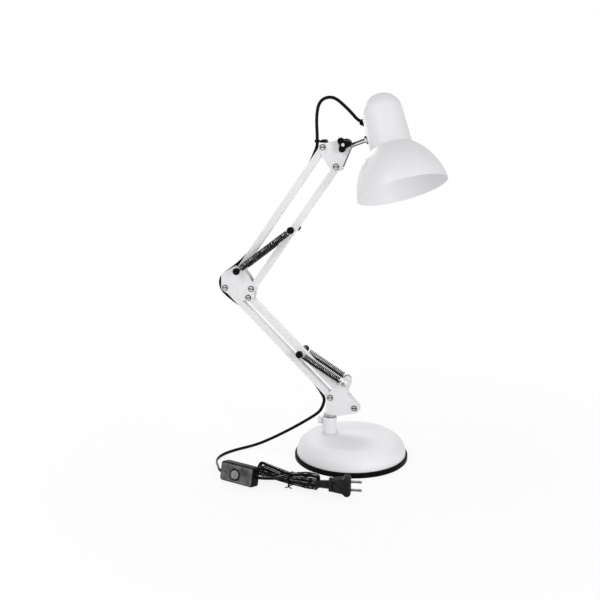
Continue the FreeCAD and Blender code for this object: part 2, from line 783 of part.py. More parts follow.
def head_bracket():
    left, right = ("0", "0"), ("head_link_run", "-head_link_rise")
    knob = ("knob_run", "-knob_drop")
    corners = [
        ("-plate_edge - 1", "plate_edge / 2"),
        ("0", "-17"),
        ("head_link_run - plate_edge", "-head_link_rise - plate_edge"),
        ("head_link_run + plate_edge", "-head_link_rise - plate_edge"),
        ("knob_run + plate_edge + 2", "-knob_drop - 4"),
        ("knob_run + plate_edge", "plate_edge - knob_drop - 2"),
        ("knob_run - 11", "plate_edge - knob_drop - 1"),
    ]
    shaft = "screw_radius + fit_gap"
    holes = [(*spot, shaft) for spot in (left, right, knob)]
    both_plates("head", corners, holes, head_place)
    pivots("head_fasteners", [left, right], head_place)
    head_start = (knob[0], HALF_STACK, knob[1])
    bolt = fused(
        prism("nut_flats", "bolt_head_height", head_start, Y),
        cylinder(
            "screw_radius",
            f"2 * ({HALF_STACK}) + washer_thickness + knob_thickness + 3",
            (knob[0], f"-({HALF_STACK}) - washer_thickness - knob_thickness - 2", knob[1]),
            Y,
        ),
    )
    washer_start = (knob[0], f"-({HALF_STACK}) - washer_thickness", knob[1])
    washer = cut(
        cylinder("knob_hub_radius", "washer_thickness", washer_start, Y),
        cylinder("screw_radius + fit_gap", "washer_thickness", washer_start, Y),
    )
    node(group(bolt, washer), "tilt_bolt", head_place)
    cap = cut(
        cylinder("knob_hub_radius", "bolt_cap_height", head_start, Y),
        prism("nut_flats + 2 * fit_gap", "bolt_head_height + fit_gap", head_start, Y),
    )
    node(cap, "tilt_bolt_cap", head_place)
    cord_clip()


def cord_clip():
    """A plastic clip across the top of the head plates, with an eye that holds the cord."""
    seat = "plate_edge - 0.4"
    hump = cut(
        cylinder("5", f"2 * ({HALF_STACK})", ("0", f"-({HALF_STACK})", seat), Y),
        box(("12", "20", "6"), ("-6", "-10", f"{seat} - 6")),
    )
    eye = ("-10.6", "0", seat)
    ring = cut(
        fused(
            cylinder("cord_diameter / 2 + 1.8", "4", eye),
            box(("5", "4", "2.2"), ("-7.6", "-2", seat)),
        ),
        cylinder("cord_diameter / 2 + side_gap", "4", eye),
    )
    node(fused(hump, ring), "head_cord_clip", head_place)


def tilt_knob():
    """The three-lobed knob that clamps the tilt."""
    start = f"-({HALF_STACK}) - washer_thickness - side_gap - knob_thickness"
    hub = cylinder("knob_hub_radius", "knob_thickness", ("0", start, "0"), Y)
    lobes = [
        cylinder(
            "knob_lobe_radius",
            "knob_thickness - 2",
            (f"knob_lobe_circle * cos({turn})", start, f"knob_lobe_circle * sin({turn})"),
            Y,
        )
        for turn in (130, 10, -110)
    ]
    bore = cylinder("screw_radius + running_gap", "knob_thickness", ("0", start, "0"), Y)
    node(cut(fused(hub, *lobes), bore), "tilt_knob", Placement(knob_centre, Rotation()))


def swivel():
    """The barrel between the head plates, and the rod that carries the shade."""
    half = "bar_width / 2"
    barrel = cut(
        cylinder("barrel_radius", "bar_width", ("0", f"-{half}", "0"), Y),
        cylinder("screw_radius + running_gap", "bar_width", ("0", f"-{half}", "0"), Y),
        cylinder("rod_radius + fit_gap", "barrel_radius", ("screw_radius + 1.5", "0", "-rod_offset"), X),
    )
    node(barrel, "swivel_barrel", swivel_place)
    rod_start = "screw_radius + 1.6"
    outer_start = f"rod_length - ({NECK_AT_ROD}) - 2 * side_gap - rod_nut_height"
    inner_start = f"rod_length - ({NECK_AT_ROD}) + shade_wall + 2 * side_gap"
    rod_reach = f"{inner_start} + rod_nut_height + 1 - ({rod_start})"
    rod = cylinder("rod_radius", rod_reach, (rod_start, "0", "-rod_offset"), X)
    node(rod, "shade_rod", swivel_place)
    nuts = [
        cut(
            prism("rod_nut_flats", "rod_nut_height", (start, "0", "-rod_offset"), X),
            cylinder("rod_radius + fit_gap", "rod_nut_height", (start, "0", "-rod_offset"), X),
        )
        for start in (outer_start, inner_start)
    ]
    node(group(*nuts), "shade_rod_nuts", swivel_place)


# ---------------------------------------------------------------- shade

def shade_cup():
    """The cup over the lamp holder, with a seat at its foot that the holder's collar sits on."""
    body = doc.addObject("PartDesign::Body", "cup")
    rise = "cup_top_radius - cup_crown"
    seat_hole = "holder_tube + fit_gap"
    sketch = sketch_on(body, "XZ_Plane")
    corners = [
        ("0", "cup_height"),
        ("cup_crown", "cup_height", rise, -1),
        ("cup_top_radius", CUP_SHOULDER),
        ("cup_rim_radius", "-cup_rim_drop"),
        (seat_hole, "-cup_rim_drop"),
        (seat_hole, "-cup_rim_drop + shade_wall"),
        ("cup_rim_radius - shade_wall", "-cup_rim_drop + shade_wall"),
        ("cup_top_radius - shade_wall", CUP_SHOULDER, f"{rise} - shade_wall", 1),
        ("cup_crown", "cup_height - shade_wall"),
        ("0", "cup_height - shade_wall"),
    ]
    outline(sketch, corners)
    revolve(body, sketch)
    rod_hole = cylinder("rod_radius + side_gap", "cup_rim_radius / 2", ("-cup_rim_radius", "0", "0"), X)
    cord_hole = grommet_cylinder("grommet_radius + fit_gap", "grommet_length + 4", "grommet_length / 2 + 2")
    node(cut(body, rod_hole, cord_hole), "shade_cup", shade_place)


def grommet_cylinder(radius, length, back):
    """A cylinder on the grommet's axis, from a way back outside the cup's wall."""
    way = along(GROMMET_ANGLE)
    wall = f"cup_top_radius + ({CUP_SHOULDER} - grommet_rise) * {CUP_TAPER}"
    start = (f"-({wall}) - ({back}) * {way.x:.6f}", "0", f"grommet_rise - ({back}) * ({way.z:.6f})")
    return cylinder(radius, length, start, way)


def shade():
    """The cup, the bell below it, and the lamp holder that clamps them together."""
    shade_cup()
    bell_top, seat_hole = "-cup_rim_drop", "holder_tube + fit_gap"
    turned(
        [
            (seat_hole, bell_top),
            ("cup_rim_radius", bell_top, "bell_curve", -1),
            ("bell_radius", "-bell_drop"),
            ("bell_radius - shade_wall", "-bell_drop", "bell_curve - shade_wall", 1),
            ("cup_rim_radius - shade_wall", f"{bell_top} - shade_wall"),
            (seat_hole, f"{bell_top} - shade_wall"),
        ],
        "shade_bell",
        shade_place,
    )
    bore = "socket_radius + socket_wall + fit_gap"
    collar_foot = "-cup_rim_drop + shade_wall"
    turned(
        [
            ("0", "holder_rise"),
            ("holder_radius - 4", "holder_rise"),
            ("holder_radius", "holder_rise - 4"),
            ("holder_radius", f"{collar_foot} + holder_collar_height"),
            ("holder_collar", f"{collar_foot} + holder_collar_height"),
            ("holder_collar", collar_foot),
            ("holder_tube", collar_foot),
            ("holder_tube", "-holder_drop"),
            (bore, "-holder_drop"),
            (bore, "socket_depth - holder_drop"),
            ("0", "socket_depth - holder_drop"),
        ],
        "lamp_holder",
        shade_place,
    )
    tube_foot = ("0", "0", "1 - holder_drop")
    tube = cut(
        cylinder("socket_radius + socket_wall", "socket_depth - 2", tube_foot),
        cylinder("socket_radius", "socket_depth - 2", tube_foot),
    )
    contact_foot = ("0", "0", "socket_depth - holder_drop - contact_thickness")
    contact = cylinder("contact_radius", "contact_thickness", contact_foot)
    node(group(tube, contact), "socket_contacts", shade_place)
    nut_foot = ("0", "0", f"{bell_top} - shade_wall - ring_nut_height")
    ring_nut = cut(
        cylinder("ring_nut_radius", "ring_nut_height", nut_foot),
        cylinder("holder_tube + fit_gap", "ring_nut_height", nut_foot),
    )
    node(ring_nut, "shade_ring_nut", shade_place)
    grommet = cut(
        grommet_cylinder("grommet_radius", "grommet_length", "grommet_length / 2"),
        grommet_cylinder("cord_diameter / 2 + side_gap", "grommet_length", "grommet_length / 2"),
    )
    node(grommet, "cord_grommet", shade_place)


# ---------------------------------------------------------------- cord

GROMMET_ANGLE = -40          # in the shade's own frame, the way the cord goes in
SWITCH_TURN = -15.5          # the switch's long axis, from +X
SWITCH_LEAN = 12.0           # how far the switch leans back onto its rear edge
SWITCH_CORNER = (-163.5, -153.8)
PLUG_TURN = 8.5              # the plug's axis, from +X
PLUG_START = (9.5, -149.6)

# the points that each stretch of the cord turns near, in order from the shade's grommet to the switch
# the free cord round the head, from the left head pivot
HEAD_ROUTES = {
    "cord_shade_loop": [
        (64.26, 6.03, 33.53),
        (50.3, 8.7, 38.3),
        (41.2, 7.2, 48.6),
        (33.2, 5.4, 57.0),
        (25.6, 4.6, 63.7),
    ],
    "cord_head_loop": [
        (25.6, 4.6, 63.7),
        (18.0, 3.8, 70.4),
        (7.2, 2.7, 73.2),
        (-2.8, 1.8, 70.1),
        (-9.2, 1.1, 62.4),
        (-11.7, 0.7, 48.5),
        (-11.9, 0.3, 34.5),
        (-11.0, 0.0, 21.0),
        (-10.6, 0.0, 8.4),
    ],
    "cord_head_exit": [
        (-10.6, 0.0, 8.4),
        (-10.5, 0.0, 1.0),
        (-13.98, 0.0, -7.21),
    ],
}
# the free cord round the elbow, from its lower left pivot
ELBOW_ROUTES = {
    "cord_elbow_upper": [
        (17.9, 0.0, 36.4),
        (6.5, 0.0, 28.4),
    ],
    "cord_elbow_lower": [
        (6.5, 0.0, 28.4),
        (-4.5, 0.0, 20.8),
        (-10.7, 0.0, 11.4),
        (-10.5, 0.0, 0.8),
        (-5.0, 0.0, -8.66),
    ],
}
# the free cord that leaves the lower arm, from the lower left pivot
BRACKET_ROUTES = {
    "cord_bracket_exit": [
        (-12.4, 0.0, -1.0),
        (-11.3, 0.0, -9.4),
        (-14.1, 0.0, -16.9),
    ],
}
# the cord down to the switch
TAIL_ROUTES = {
    "cord_tail": [
        (-47.1, 0.0, 80.1),
        (-49.9, 0.0, 72.6),
        (-58.0, 0.0, 64.6),
        (-70.5, 0.2, 55.4),
        (-86.0, 0.6, 44.6),
        (-104.0, 1.0, 32.8),
        (-122.0, 1.0, 21.8),
        (-138.8, 0.0, 12.4),
        (-153.5, -4.2, 5.6),
        (-166.5, -13.0, 2.6),
        (-177.5, -25.5, 2.35),
        (-187.2, -39.5, 2.35),
        (-194.3, -53.5, 2.35),
        (-197.3, -68.5, 2.4),
        (-195.6, -83.3, 3.0),
        (-189.9, -98.0, 4.8),
        (-182.8, -112.0, 8.4),
        (-176.4, -124.6, 12.6),
        (-169.6, -136.4, 15.4),
        (-160.66, -142.94, 16.0),
    ],
}
# share of the bar's length, and distance out from its middle, where the cord lies in the channels
LOWER_CHANNEL = [
    (0.95, 8.6), (0.9, 7.2), (0.8333, 3.2), (0.75, 1.3), (0.6, 0.9), (0.4167, 1.2), (0.2833, 0.9),
    (0.2083, 1.4), (0.15, 3.9), (0.0917, 6.6),
]
UPPER_CHANNEL = [
    (0.9042, 5.4), (0.85, 2.6), (0.7833, 1.2), (0.6917, 1.0), (0.5333, 1.3), (0.3583, 0.9),
    (0.25, 1.0), (0.1833, 1.6), (0.125, 3.2), (0.0667, 6.0),
]
SWITCH_TO_HANK = [
    (-103.5, -158.7, 16.0),
    (-94.0, -160.6, 15.6),
    (-84.0, -157.4, 14.2),
    (-74.5, -151.0, 12.4),
    (-64.0, -143.5, 11.4),
]
HANK_TO_PLUG = [
    (-28.0, -147.0, 13.6),
    (-18.6, -151.4, 15.0),
    (-9.0, -152.4, 15.6),
]
# the hank's middle line and its half width and half height there
HANK_SECTIONS = [
    ((-106.0, -126.3, 17.4), 9.6, 13.0),
    ((-98.0, -128.0, 17.2), 10.8, 13.6),
    ((-80.0, -131.8, 15.0), 10.4, 12.4),
    ((-56.0, -137.0, 11.4), 9.5, 9.5),
    ((-34.0, -142.2, 13.2), 10.4, 12.2),
    ((-14.0, -147.0, 14.6), 8.6, 12.0),
]


def corner_radius(before, corner, after):
    """How far the route turns at a corner, and the radius of the arc that rounds it."""
    first, second = corner - before, after - corner
    turn = first.getAngle(second)
    return turn, 0.45 * min(first.Length, second.Length) / math.tan(turn / 2)


def rounded_path(points):
    """Straight runs joined by tangent arcs, as large as their runs allow. Gives the edges and the radii."""
    edges, radii = [], []
    start = points[0]
    for before, corner, after in zip(points, points[1:], points[2:]):
        turn, radius = corner_radius(before, corner, after)
        reach = radius * math.tan(turn / 2)
        back, on = (before - corner).normalize(), (after - corner).normalize()
        entry, leave = corner + back * reach, corner + on * reach
        middle = corner + (back + on).normalize() * radius * (1 / math.cos(turn / 2) - 1)
        edges += [Part.LineSegment(start, entry).toShape(), Part.Arc(entry, middle, leave).toShape()]
        radii.append(radius)
        start = leave
    edges.append(Part.LineSegment(start, points[-1]).toShape())
    return edges, radii


def cord_tube(label, points):
    """A tube along a route. Prints its length and its radii, and compares its volume."""
    trim = value("cord_gap")
    first = points[0] + (points[1] - points[0]).normalize() * trim
    last = points[-1] + (points[-2] - points[-1]).normalize() * trim
    edges, radii = rounded_path([first, *points[1:-1], last])
    path = Part.Wire(edges)
    radius = value("cord_diameter / 2")
    section = Part.Wire([Part.makeCircle(radius, first, points[1] - first)])
    tube = path.makePipeShell([section], True, False)
    expected = math.pi * radius**2 * path.Length
    print(f"{label}: {path.Length:.1f} mm, radii {', '.join(f'{r:.0f}' for r in radii)}")
    assert abs(tube.Volume / expected - 1) < 0.01, f"{label} has the wrong volume"
    return tube


def cord_stretch(label, points):
    return node(feature(cord_tube(label, points)), label)


def channel_route(foot, angle, length, route):
    place = bar_place(foot, angle)
    return [place.multVec(Vector(share * value(length), 0, out)) for share, out in route]


def cords():
    """The free loops at the joints, the runs inside the channels, and the tail down to the switch."""
    lower_run = channel_route(lower_left, "lower_angle", "bar_length", LOWER_CHANNEL)
    upper_run = channel_route(elbow_top, "upper_angle", "upper_length", UPPER_CHANNEL)
    cord_stretch("cord_lower_run", lower_run)
    cord_stretch("cord_upper_run", upper_run)
    routes = {}
    anchors = (
        (head_left, HEAD_ROUTES),
        (elbow_left, ELBOW_ROUTES),
        (lower_left, BRACKET_ROUTES),
        (Vector(), TAIL_ROUTES),
    )
    for anchor, table in anchors:
        for label, route in table.items():
            routes[label] = [anchor + Vector(*spot) for spot in route]
    routes["cord_head_exit"].append(upper_run[0])
    routes["cord_elbow_upper"].insert(0, upper_run[-1])
    routes["cord_elbow_lower"].append(lower_run[0])
    routes["cord_bracket_exit"].insert(0, lower_run[-1])
    for label, route in routes.items():
        cord_stretch(label, route)
    leads = [
        cord_tube(name, [Vector(*spot) for spot in route])
        for name, route in (("lead from the switch", SWITCH_TO_HANK), ("lead to the plug", HANK_TO_PLUG))
    ]
    hank = hank_shape()
    node(feature(Part.makeCompound([lead.cut(hank) for lead in leads])), "cord_hank_leads")
    node(feature(hank), "cord_hank")


def hank_shape():
    """The folded cord's outer shape: ovals along its middle line."""
    middles = [Vector(*section[0]) for section in HANK_SECTIONS]
    way = middles[-1] - middles[0]
    turn = Rotation(Vector(-way.y, way.x, 0), Z, Vector(way.x, way.y, 0), "ZYX")
    rings = []
    for middle, half_width, half_height in HANK_SECTIONS:
        tall = half_height > half_width
        oval = Part.Ellipse(Vector(), max(half_width, half_height), min(half_width, half_height))
        ring = Part.Wire([oval.toShape()])
        ring.Placement = Placement(Vector(*middle), turn * Rotation(Z, 90 if tall else 0))
        rings.append(ring)
    return Part.makeLoft(rings, True, False)


def hank_tie():
    """The twisted tie round the hank."""
    middle = Vector(*HANK_SECTIONS[3][0])
    way = Vector(*HANK_SECTIONS[4][0]) - Vector(*HANK_SECTIONS[2][0])
    turn = Rotation(Z, Vector(way.x, way.y, 0))
    start = ("0", "0", "-tie_width / 2")
    bore = cylinder("tie_radius - tie_thickness", "tie_width", start)
    band = cut(cylinder("tie_radius", "tie_width", start), bore)
    node(band, "hank_tie", Placement(middle, turn))


# ---------------------------------------------------------------- switch and plug

switch_turn = Rotation(Z, SWITCH_TURN) * Rotation(X, -SWITCH_LEAN)
switch_rise = value("switch_depth") * math.sin(math.radians(SWITCH_LEAN))
switch_place = Placement(Vector(*SWITCH_CORNER, switch_rise), switch_turn)
plug_place = Placement(Vector(*PLUG_START, value("plug_height / 2") + 0.1), Rotation(Z, PLUG_TURN))


def half_shell(start, depth, open_start):
    """One half of the switch's case, open towards the other half. Y runs from its face to its back."""
    case = box(("switch_length", depth, "switch_height"), ("0", start, "0"))
    hollow = box(
        ("switch_length - 2 * switch_wall", f"{depth} - switch_wall", "switch_height - 2 * switch_wall"),
        ("switch_wall", open_start, "switch_wall"),
    )
    return cut(case, hollow)


def cord_switch():
    """The inline switch: two half shells with their screws, a push button, and the contact block."""
    button_x, button_z = "switch_length * 0.455", "switch_height / 2 - 1.5"
    split, back = "switch_split", "switch_depth - switch_split"
    cord_hole = cylinder("cord_diameter / 2 + side_gap", "switch_length + 2", ("-1", split, "switch_height / 2"), X)
    opening = cylinder("button_radius + side_gap", "switch_wall + 2", (button_x, "-1", button_z), Y)
    node(cut(half_shell("0", split, "switch_wall"), opening, cord_hole), "switch_face_shell", switch_place)
    screw_spots = [("switch_length - 9", "6.5"), ("switch_length - 9", "switch_height - 6.5")]
    screws = [cylinder("1.5", "4", (x, "switch_depth - 3.9", z), Y) for x, z in screw_spots]
    screw_holes = [cylinder("1.5 + fit_gap", "6", (x, "switch_depth - 4", z), Y) for x, z in screw_spots]
    rear = cut(half_shell(split, back, split), *screw_holes, cord_hole)
    node(group(rear, *screws), "switch_rear_shell", switch_place)
    button_foot = "switch_wall + 3"
    button = fused(
        cylinder("button_radius", f"button_rise + {button_foot}", (button_x, "-button_rise", button_z), Y),
        cylinder("button_radius + 1.5", "1.5", (button_x, "switch_wall + 0.1", button_z), Y),
    )
    node(button, "switch_button", switch_place)
    block_start = f"{button_foot} + button_travel + 0.8"
    block_depth = f"switch_depth - switch_wall - ({block_start})"
    block = box(("20", block_depth, "18"), (f"{button_x} - 10", block_start, "5.5"))
    node(block, "switch_contact_block", switch_place)


def plug():
    """The moulded two-blade plug on its side: body, collar, ribbed strain relief and blades."""
    body = doc.addObject("PartDesign::Body", "plug")
    sketch = sketch_on(body, "XZ_Plane", "-plug_depth / 2")
    half = "plug_height / 2"
    top = [
        ("plug_length", f"{half} - 3.5"),
        ("plug_length - 3", half),
        ("plug_length - 8", half),
        ("plug_length - 12", f"{half} - 4"),
        ("0", f"{half} - 6.5"),
    ]
    outline(sketch, top + [(x, f"-({z})") for x, z in reversed(top)])
    pad = body.newObject("PartDesign::Pad", "pad")
    pad.Profile = sketch
    bind(pad, Length="plug_depth")
    sketch.Visibility = False
    collar = cylinder("plug_collar_radius", "plug_collar_length", ("-plug_collar_length", "0", "0"), X)
    blades, slots = [], []
    for side in (-1, 1):
        middle = f"{side} * blade_spacing / 2"
        start = ("plug_length - 6", "-blade_width / 2", f"{middle} - blade_thickness / 2")
        blade = box(("blade_length + 6", "blade_width", "blade_thickness"), start)
        hole_x = "plug_length + blade_length - 3.5"
        hole = cylinder("blade_hole", "4", (hole_x, "0", f"{middle} - 2"))
        blades.append(cut(blade, hole))
        slot_foot = f"{middle} - blade_thickness / 2 - fit_gap"
        slot_start = ("plug_length - 6", "-blade_width / 2 - fit_gap", slot_foot)
        slots.append(box(("8", "blade_width + 2 * fit_gap", "blade_thickness + 2 * fit_gap"), slot_start))
    node(group(*blades), "plug_blades", plug_place)
    tail = "-plug_collar_length - relief_length"
    ribs = [
        cylinder("relief_radius + 0.7", "1.6", (f"{tail} + relief_length * {step} / 5 + 0.6", "0", "0"), X)
        for step in range(5)
    ]
    core = cylinder("relief_radius", "relief_length", (tail, "0", "0"), X)
    bore = cylinder("cord_diameter / 2 + fit_gap", "relief_length", (tail, "0", "0"), X)
    node(cut(fused(body, collar, core, *ribs), *slots, bore), "plug_body", plug_place)


# ---------------------------------------------------------------- the whole lamp

def check_and_export():
    """Stop on any failed object or bad shape, then write one STEP file for each sub-part."""
    doc.recompute()
    for item in doc.Objects:
        assert not {"Invalid", "Error"} & set(item.State), f"{item.Label} failed: {item.State}"
    os.makedirs("parts", exist_ok=True)
    for item in nodes:
        assert not item.Shape.isNull() and item.Shape.isValid(), f"{item.Label} has a bad shape"
        assert item.Shape.Solids, f"{item.Label} holds no solid"
        item.Shape.exportStep(f"parts/{item.Label}.step")
    print(f"{len(nodes)} sub-parts")


base_shell()
base_ring()
base_inside()
base_post()
lower_bracket()
elbow()
arms()
head_bracket()
tilt_knob()
swivel()
shade()
cords()
hank_tie()
cord_switch()
plug()
check_and_export()
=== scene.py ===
"""Looks of the swing arm desk lamp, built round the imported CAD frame.

Points and sizes are in metres in the row frame: origin under the middle of the base, +Z up, the arms in
the XZ plane with the shade towards +X, and the near side towards -Y. Sizes of small made pieces are in
millimetres and go through mm().
"""
import json
import math
import random

import bmesh
import bpy
from mathutils import Matrix, Vector

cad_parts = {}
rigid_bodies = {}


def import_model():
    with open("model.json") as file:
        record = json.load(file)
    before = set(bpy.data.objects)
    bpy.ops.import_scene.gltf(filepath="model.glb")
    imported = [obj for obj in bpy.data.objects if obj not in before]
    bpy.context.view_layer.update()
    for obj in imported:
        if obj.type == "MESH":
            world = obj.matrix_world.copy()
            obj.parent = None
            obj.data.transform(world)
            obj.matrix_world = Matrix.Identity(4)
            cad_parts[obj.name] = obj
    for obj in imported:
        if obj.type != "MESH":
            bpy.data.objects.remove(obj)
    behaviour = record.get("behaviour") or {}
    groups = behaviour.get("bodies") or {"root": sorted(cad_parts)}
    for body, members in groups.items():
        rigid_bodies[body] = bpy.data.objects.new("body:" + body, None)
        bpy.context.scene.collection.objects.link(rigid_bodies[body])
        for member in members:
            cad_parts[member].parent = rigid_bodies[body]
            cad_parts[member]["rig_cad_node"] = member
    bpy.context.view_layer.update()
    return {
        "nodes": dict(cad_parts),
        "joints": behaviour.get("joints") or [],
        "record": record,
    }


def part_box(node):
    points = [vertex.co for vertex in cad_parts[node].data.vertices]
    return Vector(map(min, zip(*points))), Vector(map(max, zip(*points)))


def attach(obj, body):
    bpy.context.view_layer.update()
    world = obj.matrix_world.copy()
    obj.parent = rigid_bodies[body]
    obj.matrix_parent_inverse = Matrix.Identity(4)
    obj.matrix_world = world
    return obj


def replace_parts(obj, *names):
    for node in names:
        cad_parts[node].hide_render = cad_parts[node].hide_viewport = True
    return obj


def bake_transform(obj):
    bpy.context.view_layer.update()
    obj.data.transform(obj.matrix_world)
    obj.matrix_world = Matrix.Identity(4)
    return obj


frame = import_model()
scene = bpy.context.scene
NODES = frame["nodes"]
JOINTS = {joint["name"]: joint for joint in frame["joints"]}
PIVOT = {name: Vector(joint["pos_m"]) for name, joint in JOINTS.items()}
X, Y, Z = Vector((1, 0, 0)), Vector((0, 1, 0)), Vector((0, 0, 1))
MM = 0.001


def mm(*numbers):
    """Millimetres as a vector in metres."""
    return Vector(numbers) * MM


# ---------------------------------------------------------------- camera

CAMERA_PLACE = (0.3521, -1.4289, 0.5943)
CAMERA_AZIMUTH = math.radians(17)
CAMERA_PITCH = math.radians(13)
CAMERA_LENS = 59.1

camera = bpy.data.objects.new("camera", bpy.data.cameras.new("camera"))
scene.collection.objects.link(camera)
camera.location = CAMERA_PLACE
camera.data.sensor_width = 36
camera.data.lens = CAMERA_LENS
camera.data.clip_end = 20
camera.rotation_euler = (math.pi / 2 - CAMERA_PITCH, 0, CAMERA_AZIMUTH)
scene.camera = camera


# ---------------------------------------------------------------- materials

def shader(name, color, roughness, metallic=0.0, **sockets):
    """A node material. Sockets are the Principled shader's, with _ for a space."""
    material = bpy.data.materials.new(name)
    material.use_nodes = True
    bsdf = material.node_tree.nodes["Principled BSDF"]
    bsdf.inputs["Base Color"].default_value = (*color, 1)
    bsdf.inputs["Roughness"].default_value = roughness
    bsdf.inputs["Metallic"].default_value = metallic
    for socket, number in sockets.items():
        bsdf.inputs[socket.replace("_", " ")].default_value = number
    return material, material.node_tree, bsdf


def noise(tree, scale, detail=4.0, stretch=None):
    """A noise texture on the object's own coordinates."""
    place = tree.nodes.new("ShaderNodeTexCoord")
    texture = tree.nodes.new("ShaderNodeTexNoise")
    texture.inputs["Scale"].default_value = scale
    texture.inputs["Detail"].default_value = detail
    if stretch:
        mapping = tree.nodes.new("ShaderNodeMapping")
        mapping.inputs["Scale"].default_value = stretch
        tree.links.new(place.outputs["Object"], mapping.inputs["Vector"])
        tree.links.new(mapping.outputs["Vector"], texture.inputs["Vector"])
    else:
        tree.links.new(place.outputs["Object"], texture.inputs["Vector"])
    return texture.outputs["Fac"]


def vary_color(tree, bsdf, source, dark, light, low=0.3, high=0.7):
    """Let a texture carry the colour from dark to light."""
    ramp = tree.nodes.new("ShaderNodeValToRGB")
    ramp.color_ramp.elements[0].position = low
    ramp.color_ramp.elements[1].position = high
    ramp.color_ramp.elements[0].color = (*dark, 1)
    ramp.color_ramp.elements[1].color = (*light, 1)
    tree.links.new(source, ramp.inputs["Fac"])
    tree.links.new(ramp.outputs["Color"], bsdf.inputs["Base Color"])


def vary_roughness(tree, bsdf, source, low, high):
    """Let a texture carry the roughness from low to high."""
    spread = tree.nodes.new("ShaderNodeMapRange")
    spread.inputs["From Min"].default_value = 0.3
    spread.inputs["From Max"].default_value = 0.7
    spread.inputs["To Min"].default_value = low
    spread.inputs["To Max"].default_value = high
    tree.links.new(source, spread.inputs["Value"])
    tree.links.new(spread.outputs["Result"], bsdf.inputs["Roughness"])


def bump(tree, bsdf, source, strength, distance):
    """Let a texture raise the surface, by a distance in metres."""
    made = tree.nodes.new("ShaderNodeBump")
    made.inputs["Strength"].default_value = strength
    made.inputs["Distance"].default_value = distance
    tree.links.new(source, made.inputs["Height"])
    tree.links.new(made.outputs["Normal"], bsdf.inputs["Normal"])


def paint_light_by_facing(tree, bsdf, way, low, high, light, patches=None):
    """Painted light: a band of another colour where the surface faces one way, a painted highlight where its
    colour is lighter and a painted reflection or shade where it is darker. Patches is the scale of its
    breaks.
    """
    place = tree.nodes.new("ShaderNodeTexCoord")
    facing = tree.nodes.new("ShaderNodeVectorMath")
    facing.operation = "DOT_PRODUCT"
    facing.inputs[1].default_value = Vector(way).normalized()
    share = tree.nodes.new("ShaderNodeMapRange")
    share.interpolation_type = "SMOOTHSTEP"
    share.inputs["From Min"].default_value = low
    share.inputs["From Max"].default_value = high
    tree.links.new(place.outputs["Normal"], facing.inputs[0])
    tree.links.new(facing.outputs["Value"], share.inputs["Value"])
    amount = share.outputs["Result"]
    if patches:
        broken = tree.nodes.new("ShaderNodeMapRange")
        broken.inputs["From Min"].default_value = 0.42
        broken.inputs["From Max"].default_value = 0.58
        times = tree.nodes.new("ShaderNodeMath")
        times.operation = "MULTIPLY"
        tree.links.new(noise(tree, patches, 2), broken.inputs["Value"])
        tree.links.new(amount, times.inputs[0])
        tree.links.new(broken.outputs["Result"], times.inputs[1])
        amount = times.outputs[0]
    mix = tree.nodes.new("ShaderNodeMix")
    mix.data_type = "RGBA"
    under = bsdf.inputs["Base Color"].links[0].from_socket
    tree.links.new(amount, mix.inputs[0])
    tree.links.new(under, mix.inputs[6])
    mix.inputs[7].default_value = (*light, 1)
    tree.links.new(mix.outputs[2], bsdf.inputs["Base Color"])


def enamel():
    """White stove enamel: almost even, under a soft gloss."""
    material, tree, bsdf = shader(
        "white_enamel", (0.83, 0.826, 0.848), 0.45, Coat_Weight=0.12, Coat_Roughness=0.3,
    )
    vary_color(tree, bsdf, noise(tree, 9, 3), (0.82, 0.816, 0.838), (0.84, 0.836, 0.858))
    vary_roughness(tree, bsdf, noise(tree, 40, 4), 0.40, 0.50)
    bump(tree, bsdf, noise(tree, 300, 2), 0.03, 0.0001)
    return material


def dark_moulding(name, dark, light, rough, grain_scale, grain, specular=0.14, painted_bands=()):
    """Rubber or plastic: a fine moulded grain, slight patches in colour and gloss, and any painted highlights
    where it faces given ways.
    """
    material, tree, bsdf = shader(name, light, rough[0], Specular_IOR_Level=specular)
    vary_color(tree, bsdf, noise(tree, 90, 6), dark, light)
    for painted_band in painted_bands:
        paint_light_by_facing(tree, bsdf, *painted_band)
    vary_roughness(tree, bsdf, noise(tree, 160, 5), *rough)
    bump(tree, bsdf, noise(tree, grain_scale, 3), grain, 0.0002)
    return material


def mottled_button():
    """The grey push button, speckled light and dark."""
    material, tree, bsdf = shader("grey_plastic", (0.12, 0.12, 0.125), 0.5)
    vary_color(tree, bsdf, noise(tree, 900, 4), (0.07, 0.068, 0.07), (0.42, 0.41, 0.415), 0.40, 0.60)
    vary_roughness(tree, bsdf, noise(tree, 700, 3), 0.4, 0.65)
    bump(tree, bsdf, noise(tree, 1500, 3), 0.35, 0.0002)
    return material


def metal(name, dark, light, rough, stretch=None, scratch=0.06, painted_bands=()):
    """A metal with brushed or tumbled marks in its gloss, and any painted highlights and painted reflections
    where it faces given ways.
    """
    material, tree, bsdf = shader(name, light, rough[0], 1.0)
    vary_color(tree, bsdf, noise(tree, 120, 5), dark, light)
    for painted_band in painted_bands:
        paint_light_by_facing(tree, bsdf, *painted_band)
    vary_roughness(tree, bsdf, noise(tree, 500, 6, stretch), *rough)
    bump(tree, bsdf, noise(tree, 1400, 3, stretch), scratch, 0.0001)
    return material


def cast_iron():
    """The dark, coarse iron of the weight."""
    material, tree, bsdf = shader("cast_iron", (0.06, 0.058, 0.055), 0.75, 0.4)
    vary_color(tree, bsdf, noise(tree, 60, 8), (0.035, 0.033, 0.031), (0.10, 0.09, 0.08))
    vary_roughness(tree, bsdf, noise(tree, 200, 5), 0.65, 0.9)
    bump(tree, bsdf, noise(tree, 350, 8), 0.6, 0.0006)
    return material


